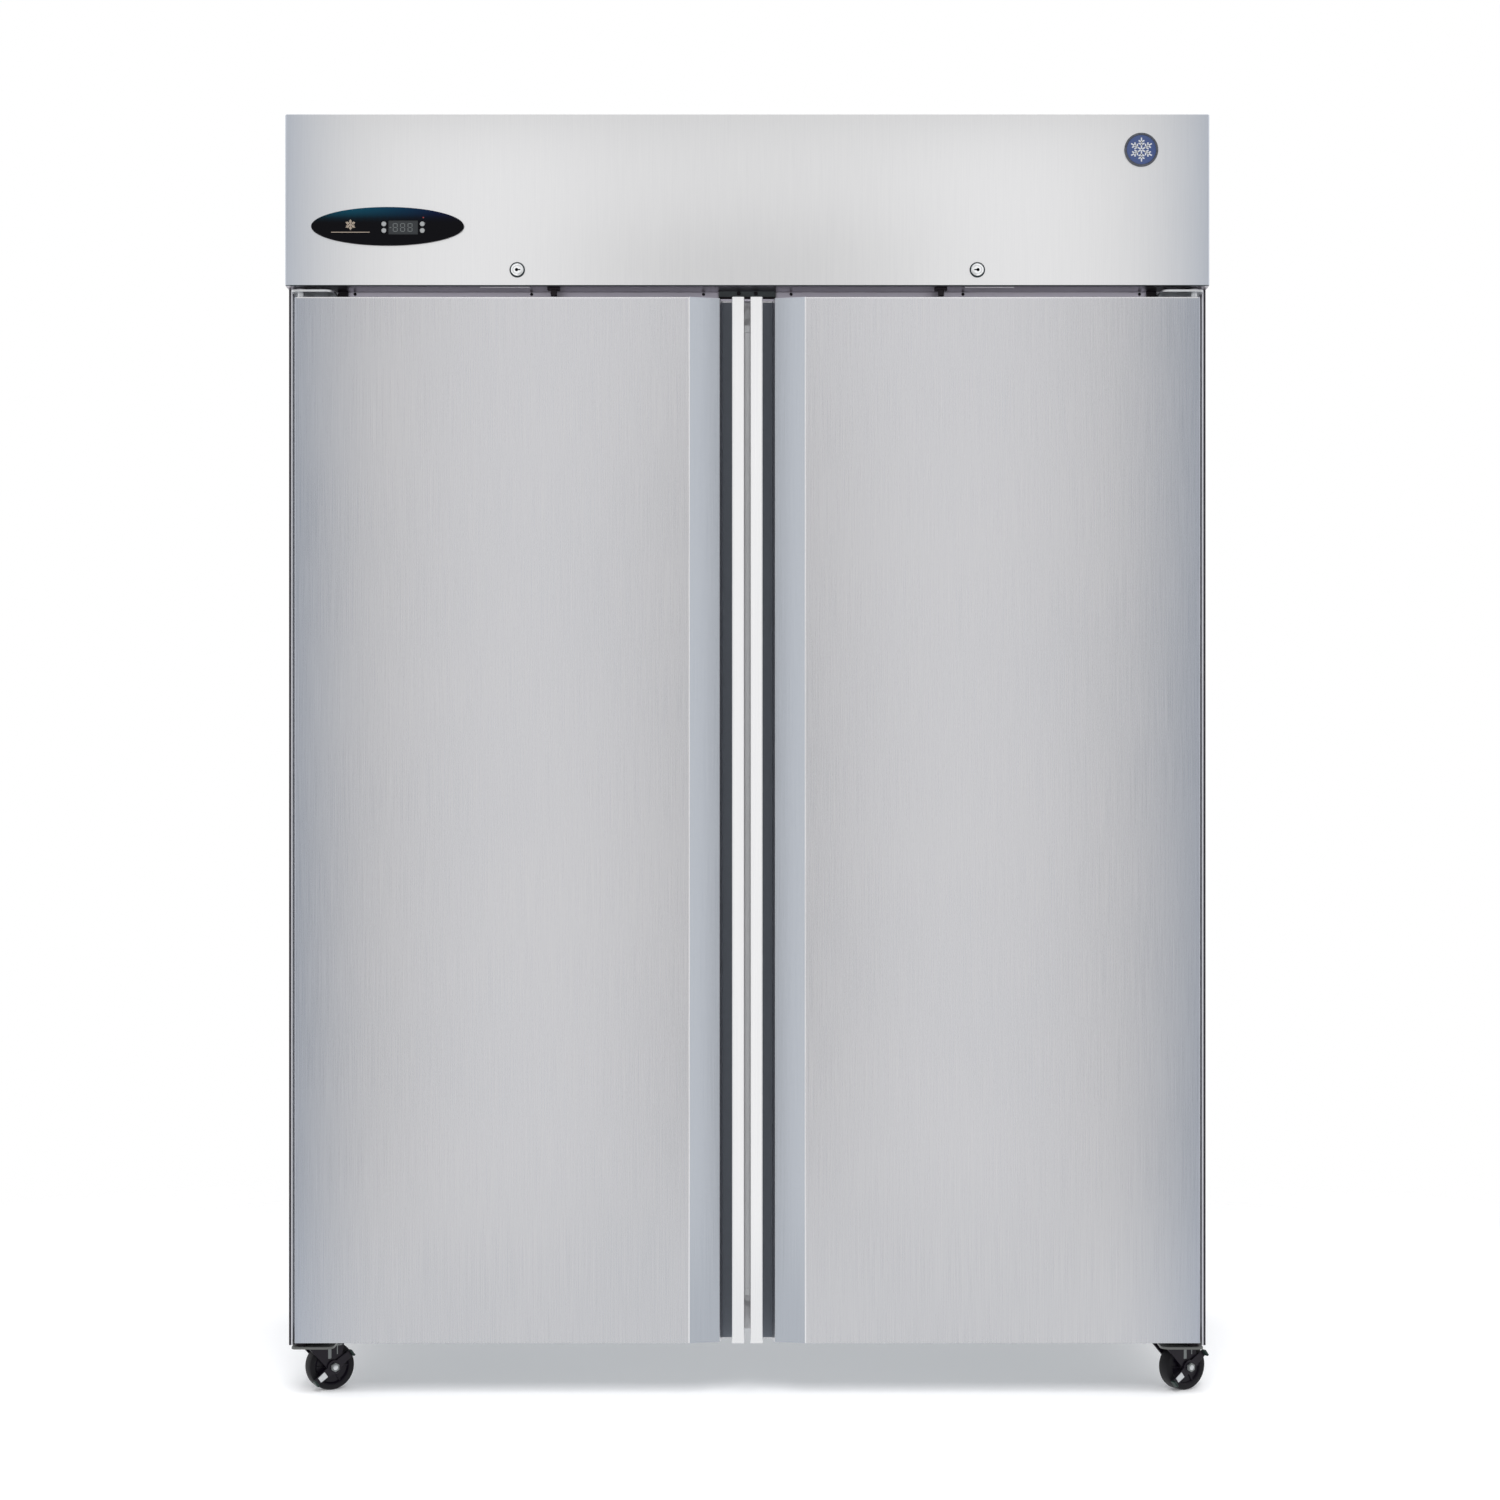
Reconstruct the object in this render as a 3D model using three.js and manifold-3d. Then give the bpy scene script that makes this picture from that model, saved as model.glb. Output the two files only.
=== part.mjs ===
// Two-section reach-in refrigerator on casters, with its cooling unit on top behind a header panel.
// Millimetres. +Z is up, the doors face -Y, and the origin is on the floor under the middle.
import * as THREE from "three";
import { mergeVertices } from "three/addons/utils/BufferGeometryUtils.js";
import Module from "manifold-3d";

const wasm = await Module();
wasm.setup();

// ---- driving dimensions -------------------------------------------------------------------------
const width = 1397;
const depth = 812;
const height = 1947;
const sheet = 1.2; // outer sheet metal
const linerSheet = 1.5;
const gap = 0.3; // between two pieces that touch
const beyond = 5; // how far a cutting tool passes the face that it opens

const halfWidth = width / 2;
const backY = depth / 2;
const frontY = -depth / 2 + 5; // plane of the doors and the header; the controls stand 5 mm proud
const faceY = frontY + 60; // front face of the cabinet, which the gaskets meet
const skirtZ = 80; // lower edge of the side panels
const baseZ = 102; // underside of the cabinet
const deckZ = 1688; // top of the cabinet, and underside of the header
const faceRadius = 8; // bend at the front corners of the cabinet
const faceStripX = 651.7; // inner edge of the side panels' front flanges

const cavity = { halfX: 640.5, backY: 343.5, lowZ: 163.5, highZ: 1626.5 }; // inside the liner
const linerLip = 10.9; // width of the liner's front lip
const mullion = { halfX: 42.5, deep: 46, sheet: 1.5 };
const shelf = { endX: 630, innerX: 12, frontY: -285, rearY: 332, thick: 8, rim: 9, openings: 10, bar: 5 };
const shelfHeights = [480, 800, 1120];

const door = { lowZ: 90.3, highZ: 1671, hingeX: 684, freeX: 4.6, thick: 50, cornerRadius: 3 };
// Hand recess beside the handle: a shallow slope, then a step down to a narrow floor.
const pocket = { startX: 88, stepX: 42.5, stepDeep: 12, floorX: 38.5, deep: 41, bend: 3 };
const handle = { width: 18.9, face: 4, web: 3.4, lip: 3.5, lipDeep: 14, cornerRadius: 5 };
const gasket = { inset: 8, wide: 22, freeInset: 12, topInset: 8, lowInset: 15.7 };
const plateau = { hingeX: 648, freeX: 48, lowZ: 134, highZ: 1634, proud: 6, radius: 20 };
const hingeAxis = { x: 677, y: frontY + 21, pinRadius: 5, pinInDoor: 16 };
const bracket = { outX: 690, inX: 626, frontY: frontY + 4, thick: 3.5 };

const lock = { x: 347.5, z: 1711.6, camLength: 52, camWidth: 12, camY: frontY + 17, camThick: 2.5 };
const slot = { half: 3.5, outer: 50, inner: 10, deep: 24 }; // openings that a lock's cam swings through
const panel = { x: -543.2, z: 1777, halfLong: 115.35, halfHigh: 29.1, thick: 3.7 };
const display = { x: -519.5, z: 1775.2, long: 45, high: 21.5, deep: 1.5 };
const buttonPlaces = [[-548.6, 1780.5], [-548.6, 1770.5], [-490.6, 1780.5], [-490.6, 1770.5]];
const buttonRadius = 3.75;

const caster = { x: 659, frontY: -300, rearY: 300, trail: 15, radius: 37.5, sides: 20 };
caster.axleZ = caster.radius * Math.cos(Math.PI / caster.sides); // a flat of the tread is on the floor
const fork = { half: 33, legIn: 14, legOut: 17, crownZ: 84, crownThick: 3, axleRadius: 4 };
const casterPlate = { halfX: 32, halfY: 38, thick: 3 };

const compressorPlace = { x: 300, y: 190 };
const controls = { lowX: -640, highX: -430, frontY: -325, rearY: -215, high: 112 }; // control box
const gland = { x: -600, z: deckZ + 40, bore: 4.2, neck: 8.8 };
const condenser = { lowX: -330, highX: 70, frontY: 330, rearY: 394, lowZ: 1700, highZ: 1920 };
const condenserFan = { x: -130, y: 262, z: 1812, hole: 100, blade: 92, hub: 30 };
const evaporator = { halfX: 255, frontY: -40, rearY: 330, lowZ: 1478 };
const evaporatorFan = { x: 0, y: -40, z: 1552, hole: 64, blade: 58, hub: 20 };

// ---- materials ----------------------------------------------------------------------------------
const finish = (color, roughness, metalness) =>
  new THREE.MeshStandardMaterial({ color, roughness, metalness });
const stainless = () => finish(0xc6c6cb, 0.35, 0.9);
const galvanised = () => finish(0xaab0b3, 0.5, 0.8);
const foam = () => finish(0xe6d9a8, 0.9, 0);
const blackPaint = () => finish(0x17171b, 0.5, 0.1);
const blackPlastic = () => finish(0x101114, 0.35, 0);
const zinc = () => finish(0xb9bdc0, 0.4, 0.9);
const polished = () => finish(0xf2f4f4, 0.2, 0.9);
const aluminium = () => finish(0xc9cdd0, 0.4, 0.8);
const greyRubber = () => finish(0x8d9095, 0.8, 0);
const whitePlastic = () => finish(0xe8eaec, 0.5, 0);

// ---- shapes -------------------------------------------------------------------------------------
const toManifold = (geometry) => {
  const bare = new THREE.BufferGeometry();
  bare.setAttribute("position", geometry.getAttribute("position").clone());
  if (geometry.index) bare.setIndex(geometry.index.clone());
  const merged = mergeVertices(bare, 1e-4);
  const vertProperties = new Float32Array(merged.getAttribute("position").array);
  const triVerts = new Uint32Array(merged.index.array);
  return new wasm.Manifold(new wasm.Mesh({ numProp: 3, vertProperties, triVerts }));
};

const toGeometry = (solid) => {
  const { vertProperties, triVerts } = solid.getMesh();
  const geometry = new THREE.BufferGeometry();
  geometry.setAttribute("position", new THREE.BufferAttribute(vertProperties, 3));
  geometry.setIndex(new THREE.BufferAttribute(triVerts, 1));
  return geometry;
};

const join = (first, ...rest) =>
  toGeometry(rest.reduce((sum, next) => sum.add(toManifold(next)), toManifold(first)));
const cut = (body, ...tools) =>
  toGeometry(tools.reduce((rest, tool) => rest.subtract(toManifold(tool)), toManifold(body)));
const common = (one, other) => toGeometry(toManifold(one).intersect(toManifold(other)));

// A box between two corners.
const block = (x0, x1, y0, y1, z0, z1) =>
  new THREE.BoxGeometry(x1 - x0, y1 - y0, z1 - z0)
    .translate((x0 + x1) / 2, (y0 + y1) / 2, (z0 + z1) / 2);

const extrude = (shape, length, curveSegments) =>
  new THREE.ExtrudeGeometry(shape, { depth: length, bevelEnabled: false, curveSegments });

// A plan view (x, y) standing between two heights.
const upright = (shape, z0, z1, curveSegments = 4) =>
  extrude(shape, z1 - z0, curveSegments).translate(0, 0, z0);

// A front view (x, z) running between two depths.
const facing = (shape, y0, y1, curveSegments = 4) =>
  extrude(shape, y1 - y0, curveSegments).rotateX(Math.PI / 2).translate(0, y1, 0);

const rodY = (radius, y0, y1, x = 0, z = 0, sides = 16) =>
  new THREE.CylinderGeometry(radius, radius, y1 - y0, sides).translate(x, (y0 + y1) / 2, z);
const rodZ = (radius, z0, z1, x = 0, y = 0, sides = 16) =>
  new THREE.CylinderGeometry(radius, radius, z1 - z0, sides)
    .rotateX(Math.PI / 2).translate(x, y, (z0 + z1) / 2);

// A solid of revolution about Y, from [radius, y] pairs.
const turned = (profile, sides) =>
  new THREE.LatheGeometry(profile.map(([radius, y]) => new THREE.Vector2(radius, y)), sides);

// A polygon with some corners rounded: each point is [x, y] or [x, y, radius].
const outline = (points) => {
  const shape = new THREE.Shape();
  const at = (index) => new THREE.Vector2(...points[(index + points.length) % points.length]);
  points.forEach(([x, y, radius = 0], index) => {
    const corner = new THREE.Vector2(x, y);
    const towards = (other) => other.sub(corner).setLength(radius).add(corner);
    const enter = radius ? towards(at(index - 1)) : corner;
    if (index === 0) shape.moveTo(enter.x, enter.y);
    else shape.lineTo(enter.x, enter.y);
    if (radius) {
      const leave = towards(at(index + 1));
      shape.quadraticCurveTo(x, y, leave.x, leave.y);
    }
  });
  shape.closePath();
  return shape;
};

const rectangle = (x0, x1, y0, y1, radius = 0) =>
  outline([[x0, y0, radius], [x1, y0, radius], [x1, y1, radius], [x0, y1, radius]]);

// The same solid on the other side of the middle plane, its faces turned to point out again.
const mirrored = (geometry) => {
  const other = geometry.index ? geometry.clone() : mergeVertices(geometry.clone());
  other.scale(-1, 1, 1);
  const index = other.index.array;
  for (let i = 0; i < index.length; i += 3) [index[i], index[i + 1]] = [index[i + 1], index[i]];
  return other;
};

const object = new THREE.Group();
const add = (name, geometry, material, parent = object) => {
  const mesh = new THREE.Mesh(geometry, material);
  mesh.name = name;
  parent.add(mesh);
  return mesh;
};

// Adds a left piece and its mirror image on the right.
const addPair = (name, leftGeometry, material) => {
  add(`${name}_left`, leftGeometry, material());
  add(`${name}_right`, mirrored(leftGeometry), material());
};

// ---- cabinet ------------------------------------------------------------------------------------
// Side panel: one sheet with a rear flange and a front flange round a bend.
const sidePanel = () => {
  const rearFlange = 20;
  const inner = -halfWidth + sheet;
  const innerRadius = faceRadius - sheet;
  const plan = outline([
    [-halfWidth, backY],
    [-halfWidth, faceY, faceRadius],
    [-faceStripX, faceY],
    [-faceStripX, faceY + sheet],
    [inner, faceY + sheet, innerRadius],
    [inner, backY - sheet],
    [-halfWidth + rearFlange, backY - sheet],
    [-halfWidth + rearFlange, backY],
  ]);
  return upright(plan, skirtZ, height);
};

const backPanel = () => {
  const halfX = halfWidth - 20 - gap;
  return block(-halfX, halfX, backY - sheet, backY, baseZ, deckZ);
};

// Plan of what fits between the side panels and the back panel, with its front corners cut off
// behind the bends. A tab brings the front edge out to the cabinet's face.
const innerPlan = (withTab) => {
  const sideX = halfWidth - sheet - gap;
  const bendX = halfWidth - faceRadius;
  const rearY = backY - sheet - gap;
  const nearY = faceY + sheet + gap;
  const tabX = faceStripX - gap;
  const tab = withTab ? [[-tabX, nearY], [-tabX, faceY], [tabX, faceY], [tabX, nearY]] : [];
  return outline([
    [sideX, rearY], [-sideX, rearY], [-sideX, faceY + faceRadius], [-bendX, nearY],
    ...tab, [bendX, nearY], [sideX, faceY + faceRadius],
  ]);
};

const lipOuter = {
  halfX: faceStripX - gap,
  lowZ: cavity.lowZ - linerLip,
  highZ: cavity.highZ + linerLip,
};

// Top and bottom sheets of the cabinet, each with a front flange that runs to the liner's lip.
const deckPanel = () => {
  const flange = block(-lipOuter.halfX, lipOuter.halfX, faceY, faceY + sheet, lipOuter.highZ + gap, deckZ);
  return join(upright(innerPlan(true), deckZ - sheet, deckZ), flange);
};
const basePanel = () => {
  const flange = block(-lipOuter.halfX, lipOuter.halfX, faceY, faceY + sheet, baseZ, lipOuter.lowZ - gap);
  return join(upright(innerPlan(true), baseZ, baseZ + sheet), flange);
};

// A block that holds the cavity, grown by a distance on every side and open at the front.
const cavityBlock = (grown) =>
  block(
    -cavity.halfX - grown, cavity.halfX + grown, faceY - beyond, cavity.backY + grown,
    cavity.lowZ - grown, cavity.highZ + grown,
  );

const insulation = () =>
  cut(
    upright(innerPlan(false), baseZ + sheet + gap, deckZ - sheet - gap),
    cavityBlock(linerSheet + gap),
  );

const innerLiner = () => {
  const lip = block(
    -lipOuter.halfX, lipOuter.halfX, faceY, faceY + sheet, lipOuter.lowZ, lipOuter.highZ,
  );
  const box = common(cavityBlock(linerSheet), block(-halfWidth, halfWidth, faceY, backY, 0, height));
  return cut(join(box, lip), cavityBlock(0));
};

// Mullion: a folded channel between the two door openings, open at its back.
const mullionPost = () => {
  const { halfX, deep, sheet: wall } = mullion;
  const plan = outline([
    [-halfX, faceY, 3], [halfX, faceY, 3], [halfX, faceY + deep], [halfX - wall, faceY + deep],
    [halfX - wall, faceY + wall, 2], [-halfX + wall, faceY + wall, 2],
    [-halfX + wall, faceY + deep], [-halfX, faceY + deep],
  ]);
  return upright(plan, cavity.lowZ + gap, cavity.highZ - gap);
};

// Shelf: a rim with bars from front to back, flat on top.
const leftShelf = (topZ) => {
  const { endX, innerX, frontY: y0, rearY: y1, thick, rim, openings, bar } = shelf;
  const lowZ = topZ - thick;
  const pitch = (endX - innerX - 2 * rim + bar) / openings;
  const opening = (_, index) => {
    const x = -endX + rim + index * pitch;
    return block(x, x + pitch - bar, y0 + rim, y1 - rim, lowZ - 1, topZ + 1);
  };
  return cut(block(-endX, -innerX, y0, y1, lowZ, topZ), ...Array.from({ length: openings }, opening));
};

const addCabinet = () => {
  addPair("side_panel", sidePanel(), stainless);
  add("back_panel", backPanel(), galvanised());
  add("deck_panel", deckPanel(), galvanised());
  add("base_panel", basePanel(), galvanised());
  add("insulation", insulation(), foam());
  add("inner_liner", innerLiner(), stainless());
  add("mullion", mullionPost(), stainless());
  shelfHeights.forEach((topZ, index) => {
    const left = leftShelf(topZ);
    add(`shelf_left_${index + 1}`, left, zinc());
    add(`shelf_right_${index + 1}`, mirrored(left), zinc());
  });
};

// ---- doors --------------------------------------------------------------------------------------
const doorBackY = frontY + door.thick;
const handleWebX = -door.freeX - handle.web;
const skinEndX = handleWebX - gap;

// Plan of the left door's body, inset all round; backAt is where its rear edge lies.
const doorPlan = (inset, backAt) => {
  const { startX, stepX, stepDeep, floorX, deep, bend } = pocket;
  const slope = Math.atan2(stepDeep, startX - stepX);
  const drop = Math.atan2(deep - stepDeep, stepX - floorX);
  // Where a bend lies once the sheets that run into and out of it, at these angles, are inset.
  const insetBend = (x, y, before, after) => {
    const reach = inset / Math.cos((after - before) / 2);
    const middle = (before + after) / 2;
    return [x - reach * Math.sin(middle), y + reach * Math.cos(middle)];
  };
  const floorY = frontY + deep + inset;
  return outline([
    [-door.hingeX + inset, backAt],
    [-door.hingeX + inset, frontY + inset, door.cornerRadius],
    insetBend(-startX, frontY, 0, slope),
    [...insetBend(-stepX, frontY + stepDeep, slope, drop), bend],
    [...insetBend(-floorX, frontY + deep, drop, 0), bend],
    [skinEndX - inset, floorY],
    [skinEndX - inset, backAt],
  ]);
};

// The slot that the left lock's cam enters, in the top of the left door.
const camSlot = (spare, z0, z1) =>
  block(
    -lock.x - slot.outer - spare, -lock.x + slot.inner + spare,
    lock.camY - slot.half - spare, lock.camY + slot.half + spare, z0, z1,
  );

const pinHoles = (radius, lengthInDoor) => [
  rodZ(radius, door.highZ - lengthInDoor, door.highZ + beyond, -hingeAxis.x, hingeAxis.y),
  rodZ(radius, door.lowZ - beyond, door.lowZ + lengthInDoor, -hingeAxis.x, hingeAxis.y),
];

// Door skin: a folded pan with the hand recess pressed down its free side.
const doorSkin = () =>
  cut(
    upright(doorPlan(0, doorBackY), door.lowZ, door.highZ),
    upright(doorPlan(sheet, doorBackY + beyond), door.lowZ + sheet, door.highZ - sheet),
    camSlot(0, door.highZ - sheet - 1, door.highZ + 1),
    ...pinHoles(hingeAxis.pinRadius + 0.4, 3),
  );

const doorCore = () => {
  const inset = sheet + gap;
  const backAt = doorBackY - linerSheet - gap;
  return cut(
    upright(doorPlan(inset, backAt), door.lowZ + inset, door.highZ - inset),
    camSlot(1.5, door.highZ - slot.deep, door.highZ),
    ...pinHoles(hingeAxis.pinRadius + 1.2, hingeAxis.pinInDoor + 3),
  );
};

// Door liner: the inner sheet, with a shallow plateau pressed towards the shelves.
const doorLiner = () => {
  const inset = sheet + gap;
  const plate = block(
    -door.hingeX + inset, skinEndX - inset, doorBackY - linerSheet, doorBackY,
    door.lowZ + inset, door.highZ - inset,
  );
  const pressing = (grown, y0, y1) =>
    facing(
      rectangle(
        -plateau.hingeX - grown, -plateau.freeX + grown, plateau.lowZ - grown,
        plateau.highZ + grown, plateau.radius + grown,
      ),
      y0, y1,
    );
  const top = doorBackY + plateau.proud;
  return cut(
    join(plate, pressing(0, doorBackY - linerSheet, top)),
    pressing(-linerSheet, doorBackY - linerSheet - 1, top - linerSheet),
  );
};

const doorGasket = () => {
  const x0 = -door.hingeX + gasket.inset;
  const x1 = -gasket.freeInset;
  const z0 = door.lowZ + gasket.lowInset;
  const z1 = door.highZ - gasket.topInset;
  const { wide } = gasket;
  const ring = rectangle(x0, x1, z0, z1, 4);
  ring.holes.push(rectangle(x0 + wide, x1 - wide, z0 + wide, z1 - wide, 3));
  return facing(ring, doorBackY + gap, faceY - gap, 2);
};

// Handle: a J-section bar the height of the door, its web along the door's free edge.
const doorHandle = () => {
  const outX = -door.freeX;
  const lipX = outX - handle.width;
  const plan = outline([
    [outX, doorBackY], [handleWebX, doorBackY], [handleWebX, frontY + handle.face],
    [lipX + handle.lip, frontY + handle.face], [lipX + handle.lip, frontY + handle.lipDeep],
    [lipX, frontY + handle.lipDeep], [lipX, frontY, 3], [outX, frontY, 2],
  ]);
  const front = outline([
    [lipX, door.lowZ, handle.cornerRadius], [outX, door.lowZ, 1.5],
    [outX, door.highZ, 1.5], [lipX, door.highZ, handle.cornerRadius],
  ]);
  return common(
    upright(plan, door.lowZ, door.highZ),
    facing(front, frontY - beyond, doorBackY + beyond),
  );
};

// Hinge brackets: an angle on the cabinet's face with the pin fixed in its flat leg.
const topHinge = () => {
  const plateZ = deckZ - 8.5;
  return join(
    block(-bracket.outX, -bracket.inX, bracket.frontY, faceY - gap, plateZ, plateZ + bracket.thick),
    block(-bracket.outX, -bracket.inX, faceY - gap - 3, faceY - gap, deckZ - 22, deckZ - 1),
    rodZ(hingeAxis.pinRadius, door.highZ - hingeAxis.pinInDoor, plateZ + 7, -hingeAxis.x, hingeAxis.y),
  );
};
const bottomHinge = () => {
  const plateZ = skirtZ;
  const washerTop = door.lowZ - 0.5;
  return join(
    block(-bracket.outX, -bracket.inX, bracket.frontY, faceY - gap, plateZ, plateZ + bracket.thick),
    block(-bracket.outX, -bracket.inX, faceY - gap - 3, faceY - gap, plateZ, plateZ + 24),
    rodZ(9, plateZ, washerTop, -hingeAxis.x + 2, hingeAxis.y),
    rodZ(hingeAxis.pinRadius, plateZ, door.lowZ + hingeAxis.pinInDoor, -hingeAxis.x, hingeAxis.y),
  );
};

const addDoors = () => {
  addPair("door_skin", doorSkin(), stainless);
  addPair("door_core", doorCore(), foam);
  addPair("door_liner", doorLiner(), whitePlastic);
  addPair("door_gasket", doorGasket(), greyRubber);
  addPair("door_handle", doorHandle(), polished);
  addPair("hinge_top", topHinge(), zinc);
  addPair("hinge_bottom", bottomHinge(), zinc);
};

// ---- header and controls ------------------------------------------------------------------------
// Header: a folded pan with side returns, a full underside and a narrow top flange.
const headerPanel = () => {
  const rearY = faceY - gap;
  const inX = halfWidth - sheet;
  const plan = outline([
    [-halfWidth, rearY], [-halfWidth, frontY, 4], [halfWidth, frontY, 4], [halfWidth, rearY],
    [inX, rearY], [inX, frontY + sheet, 2.8], [-inX, frontY + sheet, 2.8], [-inX, rearY],
  ]);
  const floorX = halfWidth - sheet / 2;
  const floorY = frontY + sheet / 2;
  const cornerX = 3; // the underside and the top flange stop short of the rounded front corners
  const cornerY = 6;
  const topFlange = 20;
  const underside = { z0: deckZ, z1: deckZ + sheet };
  const leftSlot = block(
    -lock.x - slot.outer - 7.5, -lock.x + slot.inner + 7.5, lock.camY - slot.half,
    lock.camY + slot.half, underside.z0 - 1, underside.z1 + 1,
  );
  const lockHole = (x) => rodY(9.8, frontY - beyond, frontY + beyond, x, lock.z, 24);
  const controlsWindow = { halfX: 80, halfZ: 16 };
  return cut(
    join(
      upright(plan, deckZ, height),
      block(-floorX + cornerX, floorX - cornerX, floorY, rearY, underside.z0, underside.z1),
      block(
        -floorX + cornerX, floorX - cornerX, floorY, floorY + topFlange, height - sheet, height,
      ),
      ...[-1, 1].map((side) =>
        block(
          side * (floorX - cornerX - 1), side * floorX, frontY + cornerY, rearY,
          underside.z0, underside.z1,
        ),
      ),
    ),
    leftSlot, mirrored(leftSlot),
    lockHole(-lock.x), lockHole(lock.x),
    block(
      panel.x - controlsWindow.halfX, panel.x + controlsWindow.halfX, frontY - beyond,
      frontY + beyond, panel.z - controlsWindow.halfZ, panel.z + controlsWindow.halfZ,
    ),
  );
};

// Control panel: an oval plate with four button holes and a recess for the display window.
const controlBezel = () => {
  const shape = new THREE.Shape().absellipse(
    panel.x, panel.z, panel.halfLong, panel.halfHigh, 0, 2 * Math.PI,
  );
  buttonPlaces.forEach(([x, z]) => {
    shape.holes.push(new THREE.Path().absarc(x, z, buttonRadius + gap, 0, 2 * Math.PI, true));
  });
  const backAt = frontY - gap;
  const { x, z, long, high, deep } = display;
  const plate = facing(shape, backAt - panel.thick, backAt, 13);
  const frontAt = backAt - panel.thick;
  return cut(
    plate,
    block(x - long / 2, x + long / 2, frontAt - 1, frontAt + deep, z - high / 2, z + high / 2),
  );
};

const button = () => {
  const frontAt = -depth / 2;
  const flangeY = frontY + 0.2;
  const rearAt = frontY + 2.7;
  return turned(
    [
      [0, frontAt], [buttonRadius, frontAt], [buttonRadius, flangeY],
      [buttonRadius + 1.2, flangeY], [buttonRadius + 1.2, rearAt], [0, rearAt],
    ],
    16,
  );
};

const lockBody = () => {
  const frontAt = frontY - 2.5;
  return turned(
    [
      [6.3, frontAt], [10.6, frontAt], [11.65, frontAt + 1], [11.65, frontY - gap], [9.5, frontY - gap],
      [9.5, frontY + 14.7], [6.3, frontY + 14.7], [6.3, frontAt],
    ],
    18,
  ).translate(-lock.x, 0, lock.z);
};

// Lock cylinder with its cam, which points to the side when the lock is open.
const lockCylinder = () => {
  const frontAt = frontY - 3;
  const { camY, camThick, camLength, camWidth } = lock;
  const half = camWidth / 2;
  const cam = outline([
    [half, -half, 3], [half, half, 3], [-camLength, half, 4], [-camLength, -half, 4],
  ]);
  return cut(
    join(
      rodY(6, frontAt, frontY + 15, 0, 0, 20),
      rodY(4, frontY + 14, camY + 4, 0, 0, 12),
      facing(cam, camY - camThick / 2, camY + camThick / 2),
    ),
    block(-0.9, 3.6, frontAt - 1, frontAt + 3, -0.8, 0.8),
  ).translate(-lock.x, 0, lock.z);
};

const addHeader = () => {
  add("header_panel", headerPanel(), stainless());
  add("control_bezel", controlBezel(), blackPlastic());
  buttonPlaces.forEach(([x, z], index) => {
    add(`button_${index + 1}`, button(), blackPlastic()).position.set(x, 0, z);
  });
  addPair("lock_body", lockBody(), zinc);
  addPair("lock_cylinder", lockCylinder(), zinc);
};

// ---- cooling unit -------------------------------------------------------------------------------
// A fan of flat pitched blades round a hub, about Y at the origin.
const axialFan = (radius, hub, hubLength, blades) => {
  const blade = (index) => {
    const root = hub * 0.8;
    const shape = outline([
      [-hub * 0.35, root], [hub * 0.35, root], [radius * 0.34, radius * 0.8, radius * 0.1],
      [radius * 0.16, radius * 0.98], [-radius * 0.22, radius * 0.96, radius * 0.1],
      [-radius * 0.3, radius * 0.7],
    ]);
    return facing(shape, -1, 1, 3)
      .rotateZ(THREE.MathUtils.degToRad(24))
      .rotateY((index * 2 * Math.PI) / blades);
  };
  return join(
    rodY(hub, -hubLength / 2, hubLength / 2, 0, 0, 20),
    ...Array.from({ length: blades }, (_, index) => blade(index)),
  );
};

// Compressor: a welded steel shell round its motor and pump, with a domed top, on a base plate.
const compressor = () => {
  const radius = 80;
  const base = { halfX: 100, halfY: 92, lowZ: 6, highZ: 11 };
  const foot = { x: 84, y: 76, radius: 12 };
  const shell = turned(
    [
      [0, 8], [68, 8], [radius, 24], [radius, 62], [radius + 4, 64], [radius + 4, 72],
      [radius, 74], [radius, 136], [70, 166], [34, 183], [0, 186],
    ],
    20,
  ).rotateX(Math.PI / 2);
  const plate = block(-base.halfX, base.halfX, -base.halfY, base.halfY, base.lowZ, base.highZ);
  const feet = [-foot.x, foot.x].flatMap((x) =>
    [-foot.y, foot.y].map((y) => rodZ(foot.radius, 0, base.lowZ + 1, x, y, 12)),
  );
  return join(shell, plate, ...feet);
};

// Condenser: a finned block between two tube sheets, with the fan's shroud fixed to its front.
const condenserBlock = () => {
  const { lowX, highX, frontY: y0, rearY: y1, lowZ, highZ } = condenser;
  const plate = 4;
  const sideSheet = (x) => block(x, x + plate, y0 - 3, y1 + 3, deckZ + gap, highZ + 5);
  const shroudY = condenserFan.y;
  const shroud = cut(
    block(lowX, highX, shroudY, y0 + 1, lowZ, highZ),
    block(lowX + 1.5, highX - 1.5, shroudY + 1.5, y0 + 2, lowZ + 1.5, highZ - 1.5),
    rodY(condenserFan.hole, shroudY - 2, shroudY + 4, condenserFan.x, condenserFan.z, 28),
  );
  return join(
    block(lowX + 1, highX - 1, y0, y1, lowZ, highZ),
    sideSheet(lowX - plate + 1), sideSheet(highX - 1), shroud,
  );
};

// Control box: a folded cover over the electrical parts, open underneath.
const controlBox = () => {
  const { lowX, highX, frontY: y0, rearY: y1, high } = controls;
  return cut(
    block(lowX, highX, y0, y1, deckZ + gap, deckZ + high),
    block(lowX + sheet, highX - sheet, y0 + sheet, y1 - sheet, deckZ - 1, deckZ + high - sheet),
    rodY(gland.neck + 0.4, y1 - beyond, y1 + beyond, gland.x, gland.z, 20),
  );
};

// Gland that the supply cord leaves by, through the back of the control box.
const powerGland = () => {
  const { bore, neck } = gland;
  const outside = controls.rearY + gap;
  return turned(
    [
      [bore, outside - 8.3], [neck, outside - 8.3], [neck, outside], [13, outside],
      [13, outside + 6.7], [10, outside + 7.7], [10, outside + 13.7], [7, outside + 19.7],
      [bore, outside + 19.7], [bore, outside - 8.3],
    ],
    16,
  ).translate(gland.x, 0, gland.z);
};

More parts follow.
